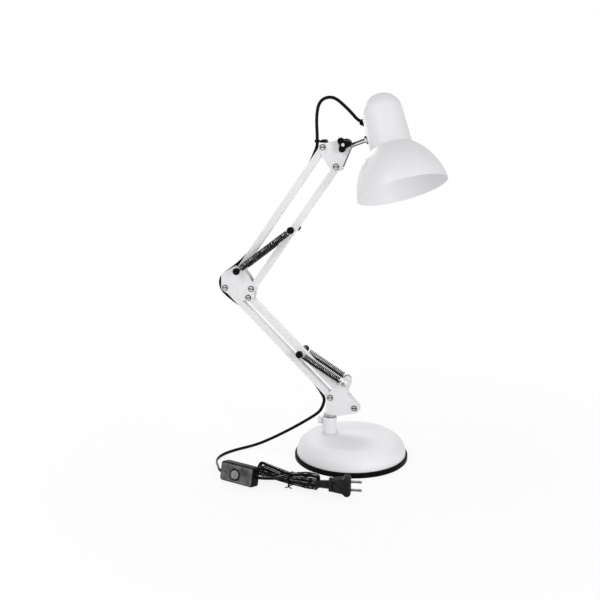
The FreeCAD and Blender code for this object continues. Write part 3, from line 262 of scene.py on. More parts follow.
MATERIALS = {
    "white_enamel": enamel(),
    "black_rubber": dark_moulding(
        "black_rubber", (0.002, 0.002, 0.002), (0.005, 0.005, 0.005), (0.36, 0.50), 900, 0.2, 0.03,
    ),
    "black_cord": dark_moulding(
        "black_cord", (0.002, 0.002, 0.002), (0.004, 0.004, 0.004), (0.16, 0.24), 700, 0.05, 0.08,
    ),
    "black_plastic": dark_moulding(
        "black_plastic", (0.003, 0.003, 0.003), (0.007, 0.007, 0.007), (0.24, 0.40), 1600, 0.2, 0.04,
    ),
    "grey_plastic": mottled_button(),
    "bakelite": dark_moulding(
        "bakelite", (0.66, 0.64, 0.60), (0.74, 0.72, 0.68), (0.25, 0.38), 300, 0.05, 0.5,
    ),
    # painted highlight: a light band on each spring coil where it faces the front and up
    "black_steel": metal(
        "black_steel", (0.008, 0.008, 0.009), (0.022, 0.022, 0.024), (0.16, 0.30),
        painted_bands=[((0.05, -0.9, 0.42), 0.90, 0.985, (0.34, 0.34, 0.35))],
    ),
    "nickel": metal("nickel", (0.60, 0.595, 0.59), (0.76, 0.755, 0.75), (0.14, 0.26)),
    # painted reflections: a dark band where the chrome faces up and a grey band where it faces down
    "chrome": metal(
        "chrome", (0.60, 0.60, 0.61), (0.72, 0.72, 0.73), (0.05, 0.12), scratch=0.02,
        painted_bands=[(Z, 0.12, 0.26, (0.006, 0.006, 0.008)), (-Z, 0.30, 0.50, (0.12, 0.12, 0.13))],
    ),
    "brass": metal("brass", (0.62, 0.44, 0.18), (0.80, 0.60, 0.28), (0.2, 0.38)),
    "cast_iron": cast_iron(),
    "steel": metal("steel", (0.42, 0.42, 0.43), (0.60, 0.60, 0.61), (0.24, 0.45)),
}
# the hank's cord, with a painted highlight along the tops of its strands, broken in patches
HANK_CORD = dark_moulding(
    "hank_cord", (0.002, 0.002, 0.002), (0.004, 0.004, 0.004), (0.16, 0.24), 700, 0.05, 0.08,
    painted_bands=[((-0.1, -0.35, 0.93), 0.86, 0.97, (0.40, 0.40, 0.41), 160)],
)
# the plug's moulding, with a painted highlight where it faces up, to the left and to the front
PLUG_BODY = dark_moulding(
    "plug_body", (0.012, 0.012, 0.012), (0.024, 0.024, 0.024), (0.34, 0.48), 900, 0.2, 0.05,
    painted_bands=[((-0.5, -0.5, 0.7), 0.90, 0.99, (0.16, 0.16, 0.16))],
)
# the blades, with a painted reflection darkening their near faces and a painted highlight on their tops
BLADE_METAL = metal(
    "blade_metal", (0.60, 0.59, 0.56), (0.72, 0.71, 0.68), (0.16, 0.30),
    painted_bands=[(-Y, 0.5, 0.7, (0.006, 0.006, 0.006)), (Z, 0.7, 0.9, (0.30, 0.30, 0.29))],
)
SWITCH_FACE = dark_moulding(
    "switch_face", (0.040, 0.038, 0.039), (0.20, 0.192, 0.195), (0.40, 0.60), 1400, 0.3,
)


def paint(obj, slot):
    """Give a piece the material of one of the record's slots."""
    obj.data.materials.clear()
    obj.data.materials.append(MATERIALS[slot])
    return obj


for part in frame["record"]["subparts"]:
    paint(NODES[part["node"]], part["material_slot"])


# ---------------------------------------------------------------- helpers: making pieces

def piece(name, slot, verts, faces, sharp=math.radians(40)):
    """A mesh piece with smooth shading away from its sharp edges."""
    mesh = bpy.data.meshes.new(name)
    mesh.from_pydata([tuple(v) for v in verts], [], faces)
    work = bmesh.new()
    work.from_mesh(mesh)
    bmesh.ops.remove_doubles(work, verts=work.verts, dist=1e-7)
    bmesh.ops.recalc_face_normals(work, faces=work.faces)
    for face in work.faces:
        face.smooth = True
    for edge in work.edges:
        edge.smooth = len(edge.link_faces) != 2 or edge.calc_face_angle() < sharp
    work.to_mesh(mesh)
    work.free()
    obj = bpy.data.objects.new(name, mesh)
    scene.collection.objects.link(obj)
    return paint(obj, slot)


def skin(rings, first_index=0, closed=False):
    """Faces over a list of equal rings, with caps on both ends unless the rings close on themselves."""
    count = len(rings[0])
    verts = [v for ring in rings for v in ring]
    faces = []
    for row in range(len(rings) if closed else len(rings) - 1):
        near, far = row * count, (row + 1) % len(rings) * count
        for k in range(count):
            after = (k + 1) % count
            faces.append([first_index + i for i in (near + k, near + after, far + after, far + k)])
    if not closed:
        last = (len(rings) - 1) * count
        faces.append([first_index + i for i in reversed(range(count))])
        faces.append([first_index + last + i for i in range(count)])
    return verts, faces


def skins(name, slot, sets, closed=False):
    """One piece made of several skins."""
    verts, faces = [], []
    for rings in sets:
        more_verts, more_faces = skin(rings, len(verts), closed)
        verts += more_verts
        faces += more_faces
    return piece(name, slot, verts, faces)


def lathe_rings(profile, place, steps=48):
    """Rings of (radius, height) in mm, turned about the place's Z axis."""
    rings = []
    for radius, height in profile:
        turn = [2 * math.pi * k / steps for k in range(steps)]
        rings.append([place @ mm(radius * math.cos(a), radius * math.sin(a), height) for a in turn])
    return rings


def outline_rings(outline, layers, place):
    """Rings of a flat outline in mm, one for each layer: (how far it is drawn in, height)."""
    count = len(outline)
    outward = []
    for k in range(count):
        way = (outline[(k + 1) % count] - outline[k - 1]).normalized()
        outward.append(Vector((way.y, -way.x)))
    rings = []
    for inset, height in layers:
        spots = [p - n * inset for p, n in zip(outline, outward)]
        rings.append([place @ mm(p.x, p.y, height) for p in spots])
    return rings


def rounded(corners, steps=8):
    """An outline of (x, y, radius) corners, anticlockwise, with each corner rounded."""
    outline = []
    for k, (x, y, radius) in enumerate(corners):
        corner = Vector((x, y))
        back = (Vector(corners[k - 1][:2]) - corner).normalized()
        on = (Vector(corners[(k + 1) % len(corners)][:2]) - corner).normalized()
        half = back.angle(on) / 2
        reach = radius / math.tan(half)
        centre = corner + (back + on).normalized() * radius / math.sin(half)
        start = corner + back * reach - centre
        end = corner + on * reach - centre
        sweep = start.angle_signed(end)
        for step in range(steps + 1):
            turned = start.copy()
            turned.rotate(Matrix.Rotation(-sweep * step / steps, 2))
            outline.append(centre + turned)
    return outline


def edge_layers(bottom, top, radius, steps=4):
    """Layers of a slab whose edges are rounded on both sides."""
    layers = []
    for step in range(steps + 1):
        angle = math.pi / 2 * step / steps
        layers.append((radius * (1 - math.sin(angle)), bottom + radius * (1 - math.cos(angle))))
    return layers + [(inset, top + bottom - height) for inset, height in reversed(layers)]


def on_axis(start, way, side=Y):
    """A place whose Z axis runs along a way, and whose Y axis lies near a side."""
    along = way.normalized()
    across = (side - along * side.dot(along)).normalized()
    matrix = Matrix((across.cross(along), across, along)).transposed().to_4x4()
    matrix.translation = start
    return matrix


# ---------------------------------------------------------------- cord: its line and its section

LINE_STEPS = 7              # points that each stretch of a cord's line is read at
CORD_LOBE = 1.38            # radius of each of the twin cord's two lobes, in mm
CORD_SPREAD = 1.1           # from the middle of the cord to the middle of a lobe
CORD_SIDES = 24
CORD_DIAMETER = 0.0046


def smooth_line(route, steps=LINE_STEPS):
    """Points read from a NURBS line with the route's points as its control points."""
    data = bpy.data.curves.new("line", "CURVE")
    data.dimensions = "3D"
    data.resolution_u = steps
    spline = data.splines.new("NURBS")
    spline.points.add(len(route) - 1)
    for control, spot in zip(spline.points, route):
        control.co = (*spot, 1)
    spline.order_u = 3
    spline.use_endpoint_u = True
    holder = bpy.data.objects.new("line", data)
    mesh = bpy.data.meshes.new_from_object(holder)
    points = [vertex.co.copy() for vertex in mesh.vertices]
    bpy.data.objects.remove(holder)
    bpy.data.curves.remove(data)
    bpy.data.meshes.remove(mesh)
    return points


def tangents(points):
    """The unit vector along the line at each point."""
    last = len(points) - 1
    return [(points[min(k + 1, last)] - points[max(k - 1, 0)]).normalized() for k in range(last + 1)]


def carried(points, side):
    """A side vector for each point, carried along the line without a twist."""
    sides = []
    for way in tangents(points):
        side = (side - way * side.dot(way)).normalized()
        sides.append(side)
    return sides


def twin_section():
    """The outline of two round cores side by side, with a shallow groove between them, in metres."""
    outline = []
    for k in range(CORD_SIDES):
        angle = 2 * math.pi * k / CORD_SIDES
        across = CORD_SPREAD * math.sin(angle)
        reach = CORD_SPREAD * abs(math.cos(angle)) + math.sqrt(CORD_LOBE**2 - across**2)
        outline.append((reach * math.cos(angle) * MM, reach * math.sin(angle) * MM))
    return outline


def oval_section(wide, high, count):
    """An oval outline, from its two radii in mm, in metres."""
    angles = [2 * math.pi * k / count for k in range(count)]
    return [(wide * MM * math.cos(a), high * MM * math.sin(a)) for a in angles]


def cord_rings(points, sides, section):
    """The section's ring at each point of a line."""
    rings = []
    for point, way, side in zip(points, tangents(points), sides):
        up = way.cross(side)
        rings.append([point + side * a + up * b for a, b in section])
    return rings


# ---------------------------------------------------------------- cord: along the lamp

# free stretches at the joints, from the joint's pivot
HEAD = PIVOT["head_level"]
ELBOW = PIVOT["elbow_level"]
BRACKET = PIVOT["lower_arm"]
ROUTE_SHADE_LOOP = [
    (0.06426, 0.00603, 0.03353),
    (0.0503, 0.0087, 0.0383),
    (0.0412, 0.0072, 0.0486),
    (0.0332, 0.0054, 0.057),
    (0.0256, 0.0046, 0.0637),
]
ROUTE_HEAD_LOOP = [
    (0.0256, 0.0046, 0.0637),
    (0.018, 0.0038, 0.0704),
    (0.0072, 0.0027, 0.0732),
    (-0.0028, 0.0018, 0.0701),
    (-0.0092, 0.0011, 0.0624),
    (-0.0117, 0.0007, 0.0485),
    (-0.0119, 0.0003, 0.0345),
    (-0.011, 0.0, 0.021),
    (-0.0106, 0.0, 0.0084),
]
ROUTE_HEAD_EXIT = [
    (-0.0106, 0.0, 0.0084),
    (-0.0105, 0.0, 0.001),
    (-0.01398, 0.0, -0.00721),
]
ROUTE_ELBOW_UPPER = [
    (0.0179, 0.0, 0.0364),
    (0.0065, 0.0, 0.0284),
]
ROUTE_ELBOW_LOWER = [
    (0.0065, 0.0, 0.0284),
    (-0.0045, 0.0, 0.0208),
    (-0.0107, 0.0, 0.0114),
    (-0.0105, 0.0, 0.0008),
    (-0.005, 0.0, -0.00866),
]
ROUTE_BRACKET_EXIT = [
    (-0.0124, 0.0, -0.001),
    (-0.0113, 0.0, -0.0094),
    (-0.0141, 0.0, -0.0169),
]
ROUTE_TAIL = [
    (-0.0471, 0.0, 0.0801),
    (-0.0499, 0.0, 0.0726),
    (-0.058, 0.0, 0.0646),
    (-0.0705, 0.0002, 0.0554),
    (-0.086, 0.0006, 0.0446),
    (-0.104, 0.001, 0.0328),
    (-0.122, 0.001, 0.0218),
    (-0.1388, 0.0, 0.0124),
    (-0.1535, -0.0042, 0.0056),
    (-0.1665, -0.013, 0.0026),
    (-0.1775, -0.0255, 0.00235),
    (-0.1872, -0.0395, 0.00235),
    (-0.1943, -0.0535, 0.00235),
    (-0.1973, -0.0685, 0.0024),
    (-0.1956, -0.0833, 0.003),
    (-0.1899, -0.098, 0.0048),
    (-0.1822, -0.1124, 0.0076),
    (-0.1762, -0.1252, 0.0098),
    (-0.1698, -0.137, 0.0110),
    (-0.16066, -0.14294, 0.0112),
]
# in the channels: share of the bar's length, and distance out from its middle
CHANNEL_LOWER = [
    (0.95, 0.0086), (0.9, 0.0072), (0.8333, 0.0032), (0.75, 0.0013), (0.6, 0.0009),
    (0.4167, 0.0012), (0.2833, 0.0009), (0.2083, 0.0014), (0.15, 0.0039), (0.0917, 0.0066),
]
CHANNEL_UPPER = [
    (0.9042, 0.0054), (0.85, 0.0026), (0.7833, 0.0012), (0.6917, 0.001), (0.5333, 0.0013),
    (0.3583, 0.0009), (0.25, 0.001), (0.1833, 0.0016), (0.125, 0.0032), (0.0667, 0.006),
]


def from_pivot(pivot, route):
    """Route points given from a pivot, in the lamp's frame."""
    return [pivot + Vector(spot) for spot in route]


def in_channel(foot, end, channel):
    """Points of a channel run, from the bar's two pivots."""
    out = Y.cross(foot - end).normalized()
    return [foot.lerp(end, share) + out * reach for share, reach in channel]


run_lower = in_channel(BRACKET, ELBOW, CHANNEL_LOWER)
run_upper = in_channel(PIVOT["upper_arm"], HEAD, CHANNEL_UPPER)
CHAIN = [
    ("cord_shade_loop", from_pivot(HEAD, ROUTE_SHADE_LOOP)),
    ("cord_head_loop", from_pivot(HEAD, ROUTE_HEAD_LOOP)),
    ("cord_head_exit", from_pivot(HEAD, ROUTE_HEAD_EXIT) + run_upper[:1]),
    ("cord_upper_run", run_upper),
    ("cord_elbow_upper", run_upper[-1:] + from_pivot(ELBOW, ROUTE_ELBOW_UPPER)),
    ("cord_elbow_lower", from_pivot(ELBOW, ROUTE_ELBOW_LOWER) + run_lower[:1]),
    ("cord_lower_run", run_lower),
    ("cord_bracket_exit", run_lower[-1:] + from_pivot(BRACKET, ROUTE_BRACKET_EXIT)),
    ("cord_tail", from_pivot(Vector((0, 0, 0)), ROUTE_TAIL)),
]

line, spans = [], {}
for name, route in CHAIN:
    points = smooth_line(route)
    start = max(len(line) - 1, 0)
    line += points[1:] if line else points
    spans[name] = (start, len(line))
chain_rings = cord_rings(line, carried(line, tangents(line)[0].cross(Y)), twin_section())
cords = {}
for name, (start, end) in spans.items():
    cords[name] = skins(name.replace("cord", "twin_cord"), "black_cord", [chain_rings[start:end]])
    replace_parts(cords[name], name)


def bend_cord(name):
    """Bake a stretch's placement into its mesh."""
    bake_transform(cords[name])


bend_cord("cord_shade_loop")
bend_cord("cord_head_loop")
bend_cord("cord_head_exit")
bend_cord("cord_elbow_upper")
bend_cord("cord_elbow_lower")
bend_cord("cord_bracket_exit")
bend_cord("cord_tail")
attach(cords["cord_upper_run"], "upper_left_arm")
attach(cords["cord_lower_run"], "lower_left_arm")


# ---------------------------------------------------------------- cord: the tied hank

LEAD_FROM_SWITCH = [
    (-0.1035, -0.1587, 0.016),
    (-0.094, -0.1606, 0.0172),
    (-0.084, -0.1574, 0.0168),
    (-0.0745, -0.151, 0.0152),
    (-0.064, -0.1435, 0.013),
]
LEAD_TO_PLUG = [
    (-0.028, -0.147, 0.0136),
    (-0.0186, -0.1514, 0.015),
    (-0.009, -0.1524, 0.0156),
]
# the hank's middle line, in metres, and its half width and half height there
HANK_SECTIONS = [
    ((-0.106, -0.1263, 0.0174), 0.0096, 0.013),
    ((-0.098, -0.128, 0.0172), 0.0108, 0.0136),
    ((-0.08, -0.1318, 0.015), 0.0104, 0.0124),
    ((-0.056, -0.137, 0.0114), 0.0095, 0.0095),
    ((-0.034, -0.1422, 0.0146), 0.0104, 0.0138),
    ((-0.014, -0.147, 0.0152), 0.0086, 0.0140),
]
TIE_STATION = 3
HANK_OUTER, HANK_INNER = 9, 4
LEFT_ENDS = (0.0, 0.85, 0.25, 1.15, 0.0, 0.6)      # the station where each fold at the switch end lies
hank_way = (Vector(HANK_SECTIONS[-1][0]) - Vector(HANK_SECTIONS[0][0])).normalized()
hank_side = Z.cross(hank_way).normalized()
hank_random = random.Random(5)
STRAND_STATIONS = (1.0, 1.7, 2.3, 3.0, 3.7, 4.4, 4.9)
STRAND_SWING = 0.0010        # how far a loose strand strays from its place, in metres
STRAND_FLOOR = 0.0024        # the lowest that a strand's middle lies
FOLD_BULGE = (0.0035, 0.0065)


def hank_places():
    """Where each strand crosses the hank's section, in the order that the cord takes them."""
    outer = [(0.92, math.radians(70 + 160 * k)) for k in range(HANK_OUTER)]
    inner = [(0.42, math.radians(45 + 90 * k)) for k in range(HANK_INNER)]
    order = outer[:3] + inner[:1] + outer[3:5] + inner[1:2] + outer[5:7] + inner[2:] + outer[7:]
    return [(reach * math.cos(angle), reach * math.sin(angle)) for reach, angle in order]


def strand_point(place, station, loose=0.0):
    """A strand's point at one of the hank's sections, or part of the way to the next."""
    first = min(int(station), len(HANK_SECTIONS) - 2)
    part = station - first
    (here, wide, high), (there, wide_on, high_on) = HANK_SECTIONS[first], HANK_SECTIONS[first + 1]
    middle = Vector(here).lerp(Vector(there), part)
    room = CORD_DIAMETER / 2
    width = wide + (wide_on - wide) * part - room + loose
    height = high + (high_on - high) * part - room + loose
    return middle + hank_side * place[0] * width + Z * place[1] * height


def hank_route():
    """One route: the lead, the strands to and fro with a fold at each end, and the lead to the plug."""
    places = hank_places()
    route = [Vector(spot) for spot in LEAD_FROM_SWITCH[:4]]
    for k, place in enumerate(places):
        rightward = k % 2 == 0
        first = LEFT_ENDS[min((k - 1) // 2, len(LEFT_ENDS) - 1)] if k else 0.0
        stations = [first] + [station for station in STRAND_STATIONS if station > first + 0.3]
        if k == 0:
            stations = list(STRAND_STATIONS[3:])
        if k == len(places) - 1:
            stations = stations[:-2]
        if not rightward:
            stations.reverse()
        for station in stations:
            swing = STRAND_SWING if abs(station - TIE_STATION) > 1.0 else 0.0
            shift = mm(*[hank_random.uniform(-1, 1) for _ in range(3)]) * swing / MM
            spot = strand_point(place, station) + shift
            spot.z = max(spot.z, STRAND_FLOOR)
            route.append(spot)
        if k < len(places) - 1:
            following = places[k + 1]
            end = stations[-1]
            bulge = hank_way * (1 if rightward else -1) * hank_random.uniform(*FOLD_BULGE)
            for turn in (place, following):
                spot = strand_point(turn, end, 0.0004) + bulge
                spot.z = max(spot.z, STRAND_FLOOR)
                route.append(spot)
    return route + [Vector(spot) for spot in LEAD_TO_PLUG]


hank_line = smooth_line(hank_route(), 6)
hank_sides = carried(hank_line, Z)
hank_cord = skins("twin_cord_hank", "black_cord", [cord_rings(hank_line, hank_sides, twin_section())])
hank_cord.data.materials[0] = HANK_CORD
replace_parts(hank_cord, "cord_hank", "cord_hank_leads")
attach(hank_cord, "root")


# ---------------------------------------------------------------- the twist tie

tie_place = on_axis(Vector(HANK_SECTIONS[TIE_STATION][0]), hank_way, Z)
TIE_RADIUS, TIE_WIDTH, TIE_THICKNESS = 9.9, 3.0, 0.6
KNOT_HEIGHT, TIP_HEIGHT, TIP_SPREAD = 0.0030, 0.0014, 0.0050
TWIST_RADIUS, TWIST_STEPS = 0.0007, 24
TWISTED = 0.55              # the share of the ends' length that is twisted together
band_profile = [
    (TIE_RADIUS, -TIE_WIDTH / 2),
    (TIE_RADIUS + TIE_THICKNESS, -TIE_WIDTH / 2 + 0.2),
    (TIE_RADIUS + TIE_THICKNESS + 0.3, -0.4),
    (TIE_RADIUS + TIE_THICKNESS + 0.3, 0.4),
    (TIE_RADIUS + TIE_THICKNESS, TIE_WIDTH / 2 - 0.2),
    (TIE_RADIUS, TIE_WIDTH / 2),
]


def tie_ends():
    """The two flat ends: twisted together down from the band, then splayed apart on the floor."""
    start = Vector(HANK_SECTIONS[TIE_STATION][0]) + mm(-1.0, -9.2, -5.2)
    knot = Vector((start.x, start.y - 0.0016, KNOT_HEIGHT))
    sets = []
    for side in (-1, 1):
        tip = Vector((knot.x + side * TIP_SPREAD, knot.y - 0.0012, TIP_HEIGHT))
        spots = []
        for k in range(TWIST_STEPS + 1):
            part = k / TWIST_STEPS
            if part < TWISTED:
                spot = start.lerp(knot, part / TWISTED)
            else:
                spot = knot.lerp(tip, (part - TWISTED) / (1 - TWISTED))
            turn = math.pi * (side / 2 + 5 * min(part, TWISTED))
            spots.append(spot + (X * math.cos(turn) + Y * math.sin(turn)) * TWIST_RADIUS * max(0.0, 1 - part))
        sets.append(cord_rings(spots, carried(spots, Y), oval_section(1.25, 0.8, 10)))
    return sets


tie = skins("twist_tie", "black_plastic", [lathe_rings(band_profile, tie_place)], closed=True)
ends = skins("twist_tie_ends", "black_plastic", tie_ends())
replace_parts(tie, "hank_tie")
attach(tie, "root")
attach(ends, "root")


# ---------------------------------------------------------------- springs

COIL_RADIUS, WIRE_RADIUS = 4.3, 0.95
EYE_RADIUS = 3.6             # on the eye's middle line, round a pin
EYE_STEPS = 15
EYE_START, EYE_SWEEP = -250, 340        # in degrees
COIL_STEPS = 18
COIL_EASE = 0.55            # the share of a turn in which the coil opens out from its eye
CAP_ROOM = 6.4              # from a pin's middle to the first coil
COIL_PITCH = 2.7
SPRING_OFFSET, EAR_SPRING_OFFSET = 14.5, 13.0


def spring_line(length):
    """One spring along Z from 0: an eye round the first pin, the coils, and an eye round the second."""
    turns = round((length - 2 * CAP_ROOM) / COIL_PITCH)
    eye = []
    for k in range(EYE_STEPS):
        angle = math.radians(EYE_START + EYE_SWEEP * k / EYE_STEPS)
        eye.append(Vector((EYE_RADIUS * math.cos(angle), 0, EYE_RADIUS * math.sin(angle))))
    coils = []
    total = turns * COIL_STEPS
    for k in range(total + 1):
        part = k / total
        ease = min(1.0, min(k, total - k) / (COIL_STEPS * COIL_EASE))
        angle = 2 * math.pi * k / COIL_STEPS
        height = EYE_RADIUS + (length - 2 * EYE_RADIUS) * part
        body = CAP_ROOM + (length - 2 * CAP_ROOM) * part
        height = body if ease >= 1 else height + (body - height) * ease
        reach = COIL_RADIUS * math.sin(ease * math.pi / 2)
        coils.append(Vector((reach * math.cos(angle), reach * math.sin(angle), height)))
    far = [Vector((-p.x, p.y, length - p.z)) for p in reversed(eye)]
    return [p * MM for p in eye + coils[:-1] + far]


def spring_pair(name, node, first, last, first_offset=SPRING_OFFSET):
    """Two springs, one on each side of an arm, from one pin to another."""
    sets = []
    section = oval_section(WIRE_RADIUS, WIRE_RADIUS, 8)
    for side in (-1, 1):
        start, end = first + Y * side * first_offset * MM, last + Y * side * SPRING_OFFSET * MM
        spots = [on_axis(start, end - start) @ p for p in spring_line((end - start).length / MM)]
        sets.append(cord_rings(spots, carried(spots, Y), section))
    made = skins(name, "black_steel", sets)
    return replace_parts(made, node)


def middle_of(node):
    """The middle of a CAD node's box."""
    low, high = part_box(node)
    return (low + high) / 2


EAR = BRACKET + mm(23, 0, 28)
lower_pin = middle_of("lower_spring_pin")
upper_pin = middle_of("upper_spring_pin")
elbow_pin = middle_of("elbow_spring_pin")
lower_springs = spring_pair("coil_springs_lower", "lower_springs", EAR, lower_pin, EAR_SPRING_OFFSET)
upper_springs = spring_pair("coil_springs_upper", "upper_springs", elbow_pin, upper_pin)
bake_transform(lower_springs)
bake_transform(upper_springs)


# ---------------------------------------------------------------- pins and caps that hold the springs

CAP_PROFILE = [
    (2.6, 15.9), (5.0, 15.9), (5.5, 16.3), (5.6, 17.2), (5.6, 19.2), (5.4, 20.0), (4.9, 20.6), (4.1, 20.95),
    (3.2, 21.05), (1.7, 21.0), (1.1, 20.6), (0.7, 20.1), (0.02, 20.0),
]
PIN_PROFILE = [(2.5, 0), (2.5, 19.2), (0.02, 19.2)]


def capped_pin(name, node, body, centre):
    """A steel cross pin with a domed plastic cap on each end."""
    near, far = on_axis(centre, -Y, X), on_axis(centre, Y, X)
    pin = skins(f"{name}_pin", "steel", [lathe_rings(PIN_PROFILE, place, 32) for place in (near, far)])
    caps = skins(f"{name}_caps", "black_plastic", [lathe_rings(CAP_PROFILE, place) for place in (near, far)])
    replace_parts(pin, node)
    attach(pin, body)
    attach(caps, body)


capped_pin("lower_spring", "lower_spring_pin", "lower_right_arm", lower_pin)
capped_pin("upper_spring", "upper_spring_pin", "upper_right_arm", upper_pin)
capped_pin("elbow_spring", "elbow_spring_pin", "elbow", elbow_pin)
EAR_HEAD_PROFILE = [
    (2.0, 15.3), (5.2, 15.3), (5.8, 15.6), (5.8, 16.1), (5.2, 16.9), (4.0, 17.4), (2.0, 17.6), (0.9, 17.5),
    (0.02, 17.5),
]
ear_heads = skins(
    "ear_pin_heads",
    "nickel",
    [lathe_rings(EAR_HEAD_PROFILE, on_axis(EAR, way, X)) for way in (Y, -Y)],
)
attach(ear_heads, "lower_bracket")


# ---------------------------------------------------------------- painted shade round the screws' heads and in their slots

SCREW_FACE = 8.6            # from the arm's middle plane to a pivot screw's face
SLOT_SIZE = (6.8, 1.7, 0.5)
EAR_FACE = 17.45            # from the arm's middle plane to an ear pin's face
EAR_SLOT_SIZE = (7.5, 1.0, 0.5)
STRIP_SIZE = (26.0, 6.0, 0.8)
SHADOW_RING_PROFILE = [(3.3, 6.8), (4.5, 6.8), (4.55, 8.3), (4.35, 8.7), (3.6, 8.75), (3.3, 8.65)]


def slab(place, sizes):
    """A box about a place's origin, as one skin. Sizes are in mm."""
    a, b, c = (size / 2 for size in sizes)
    corners = [(-a, -b), (a, -b), (a, b), (-a, b)]
    return [[place @ mm(x, y, z) for x, y in corners] for z in (-c, c)]


def screw_marks(name, body, spots):
    """Painted shade: a dark ring round each pivot screw's head where its edge falls in shade, and a dark slab
    for the shade in its slot.
    """
    painted_shadow_rings = [lathe_rings(SHADOW_RING_PROFILE, on_axis(p, -Y, Z), 40) for p in spots]
    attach(skins(f"{name}_rims", "black_steel", painted_shadow_rings, closed=True), body)
    slot_shades = [slab(on_axis(p - Y * (SCREW_FACE - 0.2) * MM, -Y, Z), SLOT_SIZE) for p in spots]
    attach(skins(f"{name}_slots", "black_steel", slot_shades), body)


screw_marks("bracket_screw", "lower_bracket", [BRACKET, PIVOT["lower_arm_right"]])
elbow_right = ELBOW + PIVOT["lower_arm_right"] - BRACKET
screw_marks("elbow_screw", "elbow", [ELBOW, elbow_right, PIVOT["upper_arm_right"]])
screw_marks("head_screw", "head_bracket", [HEAD, HEAD + PIVOT["upper_arm_right"] - PIVOT["upper_arm"]])
# painted shade: a dark strip between the head plates, along their right-hand edge, where the gap between them
# is in shade
strip_way = Vector((0.92, 0, -0.38)).normalized()
strip = slab(on_axis(mm(-11.85, 0, 469.9) - strip_way * 0.7 * MM, strip_way, Y), STRIP_SIZE)
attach(skins("head_plate_gap_shade", "black_rubber", [strip]), "head_bracket")
# painted shade: two dark slabs in a cross on each ear pin's head, where a cross slot's shade would lie
ear_slot_shades = [slab(on_axis(EAR - Y * EAR_FACE * MM, -Y, Z + X * tilt), EAR_SLOT_SIZE) for tilt in (1, -1)]
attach(skins("ear_pin_slot_shades", "black_steel", ear_slot_shades), "lower_bracket")


# ---------------------------------------------------------------- the grommet's flange on the cup

FLANGE_PROFILE = [(2.7, -0.9), (6.3, -0.9), (6.3, 0.7), (5.9, 1.2), (4.6, 1.5), (2.7, 1.5)]
rod_way = Vector(JOINTS["head_roll"]["axis"])
flange_place = on_axis(middle_of("cord_grommet"), -rod_way)
flange = skins("grommet_flange", "black_rubber", [lathe_rings(FLANGE_PROFILE, flange_place)], closed=True)
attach(flange, "shade")


# ---------------------------------------------------------------- tilt knob

KNOB_FRONT, KNOB_BACK = 17.1, 8.4
LOBE_RADIUS, LOBE_CIRCLE = 4.9, 7.4
KNOB_TURNS = (130, 10, -110)
KNOB_HUB, KNOB_EDGE = 6.3, 1.6


def knob_outline(steps=108, spread=5):
    """A hub and three lobes, with the hollows between them rounded."""
    reach = []
    for k in range(steps):
        angle = 2 * math.pi * k / steps
        far = KNOB_HUB
        for turn in KNOB_TURNS:
            apart = angle - math.radians(turn)
            inside = LOBE_RADIUS**2 - (LOBE_CIRCLE * math.sin(apart)) ** 2
            if inside > 0 and math.cos(apart) > 0:
                far = max(far, LOBE_CIRCLE * math.cos(apart) + math.sqrt(inside))
        reach.append(far)
    soft = []
    for k in range(steps):
        nearby = [reach[(k + j) % steps] for j in range(-spread, spread + 1)]
        angle = 2 * math.pi * k / steps
        radius = sum(nearby) / len(nearby)
        soft.append(Vector((radius * math.cos(angle), radius * math.sin(angle))))
    return soft


# the knob's place: X and Y of its outline lie along the lamp's X and Z, and its height towards -Y
knob_place = Matrix.Translation(PIVOT["tilt_knob_turn"]) @ Matrix.Rotation(math.pi / 2, 4, "X")
knob_dish = [(2.6, KNOB_FRONT - 0.25), (4.0, KNOB_FRONT - 0.45)]
knob_layers = edge_layers(KNOB_BACK, KNOB_FRONT, KNOB_EDGE, 5) + knob_dish
tilt_knob = skins("tri_lobe_knob", "black_plastic", [outline_rings(knob_outline(), knob_layers, knob_place)])
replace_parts(tilt_knob, "tilt_knob")
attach(tilt_knob, "tilt_knob")


# ---------------------------------------------------------------- inline switch

SWITCH_SIZE = (59.0, 29.0, 17.0)
SWITCH_SPLIT = 9.0
SWITCH_LEAN = math.radians(12)
SEAM_HALF = 0.12            # half the gap that shows between the two halves
SEAM_EDGE = 0.35            # the small chamfer on each half along that gap
CASE_STEPS = 5
switch_place = (
    Matrix.Translation((-0.1635, -0.1538, SWITCH_SIZE[2] * MM * math.sin(SWITCH_LEAN)))
    @ Matrix.Rotation(math.radians(-15.5), 4, "Z")
    @ Matrix.Rotation(-SWITCH_LEAN, 4, "X")
)
# its face's own plane: X along the switch, Y up it, and height out of its face
face_place = switch_place @ Matrix.Rotation(math.pi / 2, 4, "X")
BUTTON_SPOT = (0.455 * SWITCH_SIZE[0], SWITCH_SIZE[1] / 2 - 1.5)
BUTTON_RADIUS = 6.7


def carve(obj, rings):
    """Cut a closed shape out of a piece."""
    cutter = skins("cutter", "black_plastic", rings)
    modifier = obj.modifiers.new("carve", "BOOLEAN")
    modifier.operation = "DIFFERENCE"
    modifier.solver = "EXACT"
    modifier.object = cutter
    bpy.context.view_layer.update()
    carved = bpy.data.meshes.new_from_object(obj.evaluated_get(bpy.context.evaluated_depsgraph_get()))
    obj.modifiers.clear()
    obj.data = carved
    bpy.data.objects.remove(cutter)
    return obj


def switch_half(name, back, front, edge, faces_front):
    """One half of the case: rounded at its outer end, with a small chamfer at the gap."""
    length, height, _ = SWITCH_SIZE
    corners = [(0.1, 0.1, 4.2), (length, 0.1, 3.2), (length, height, 3.2), (0.1, height, 4.2)]
    whole = edge_layers(back, front, edge, CASE_STEPS)
    if faces_front:
        layers = [(SEAM_EDGE, back), (0.0, back + SEAM_EDGE)] + whole[CASE_STEPS + 1:]
    else:
        layers = whole[:CASE_STEPS + 1] + [(0.0, front - SEAM_EDGE), (SEAM_EDGE, front)]
    return skins(name, "black_plastic", [outline_rings(rounded(corners), layers, face_place)])


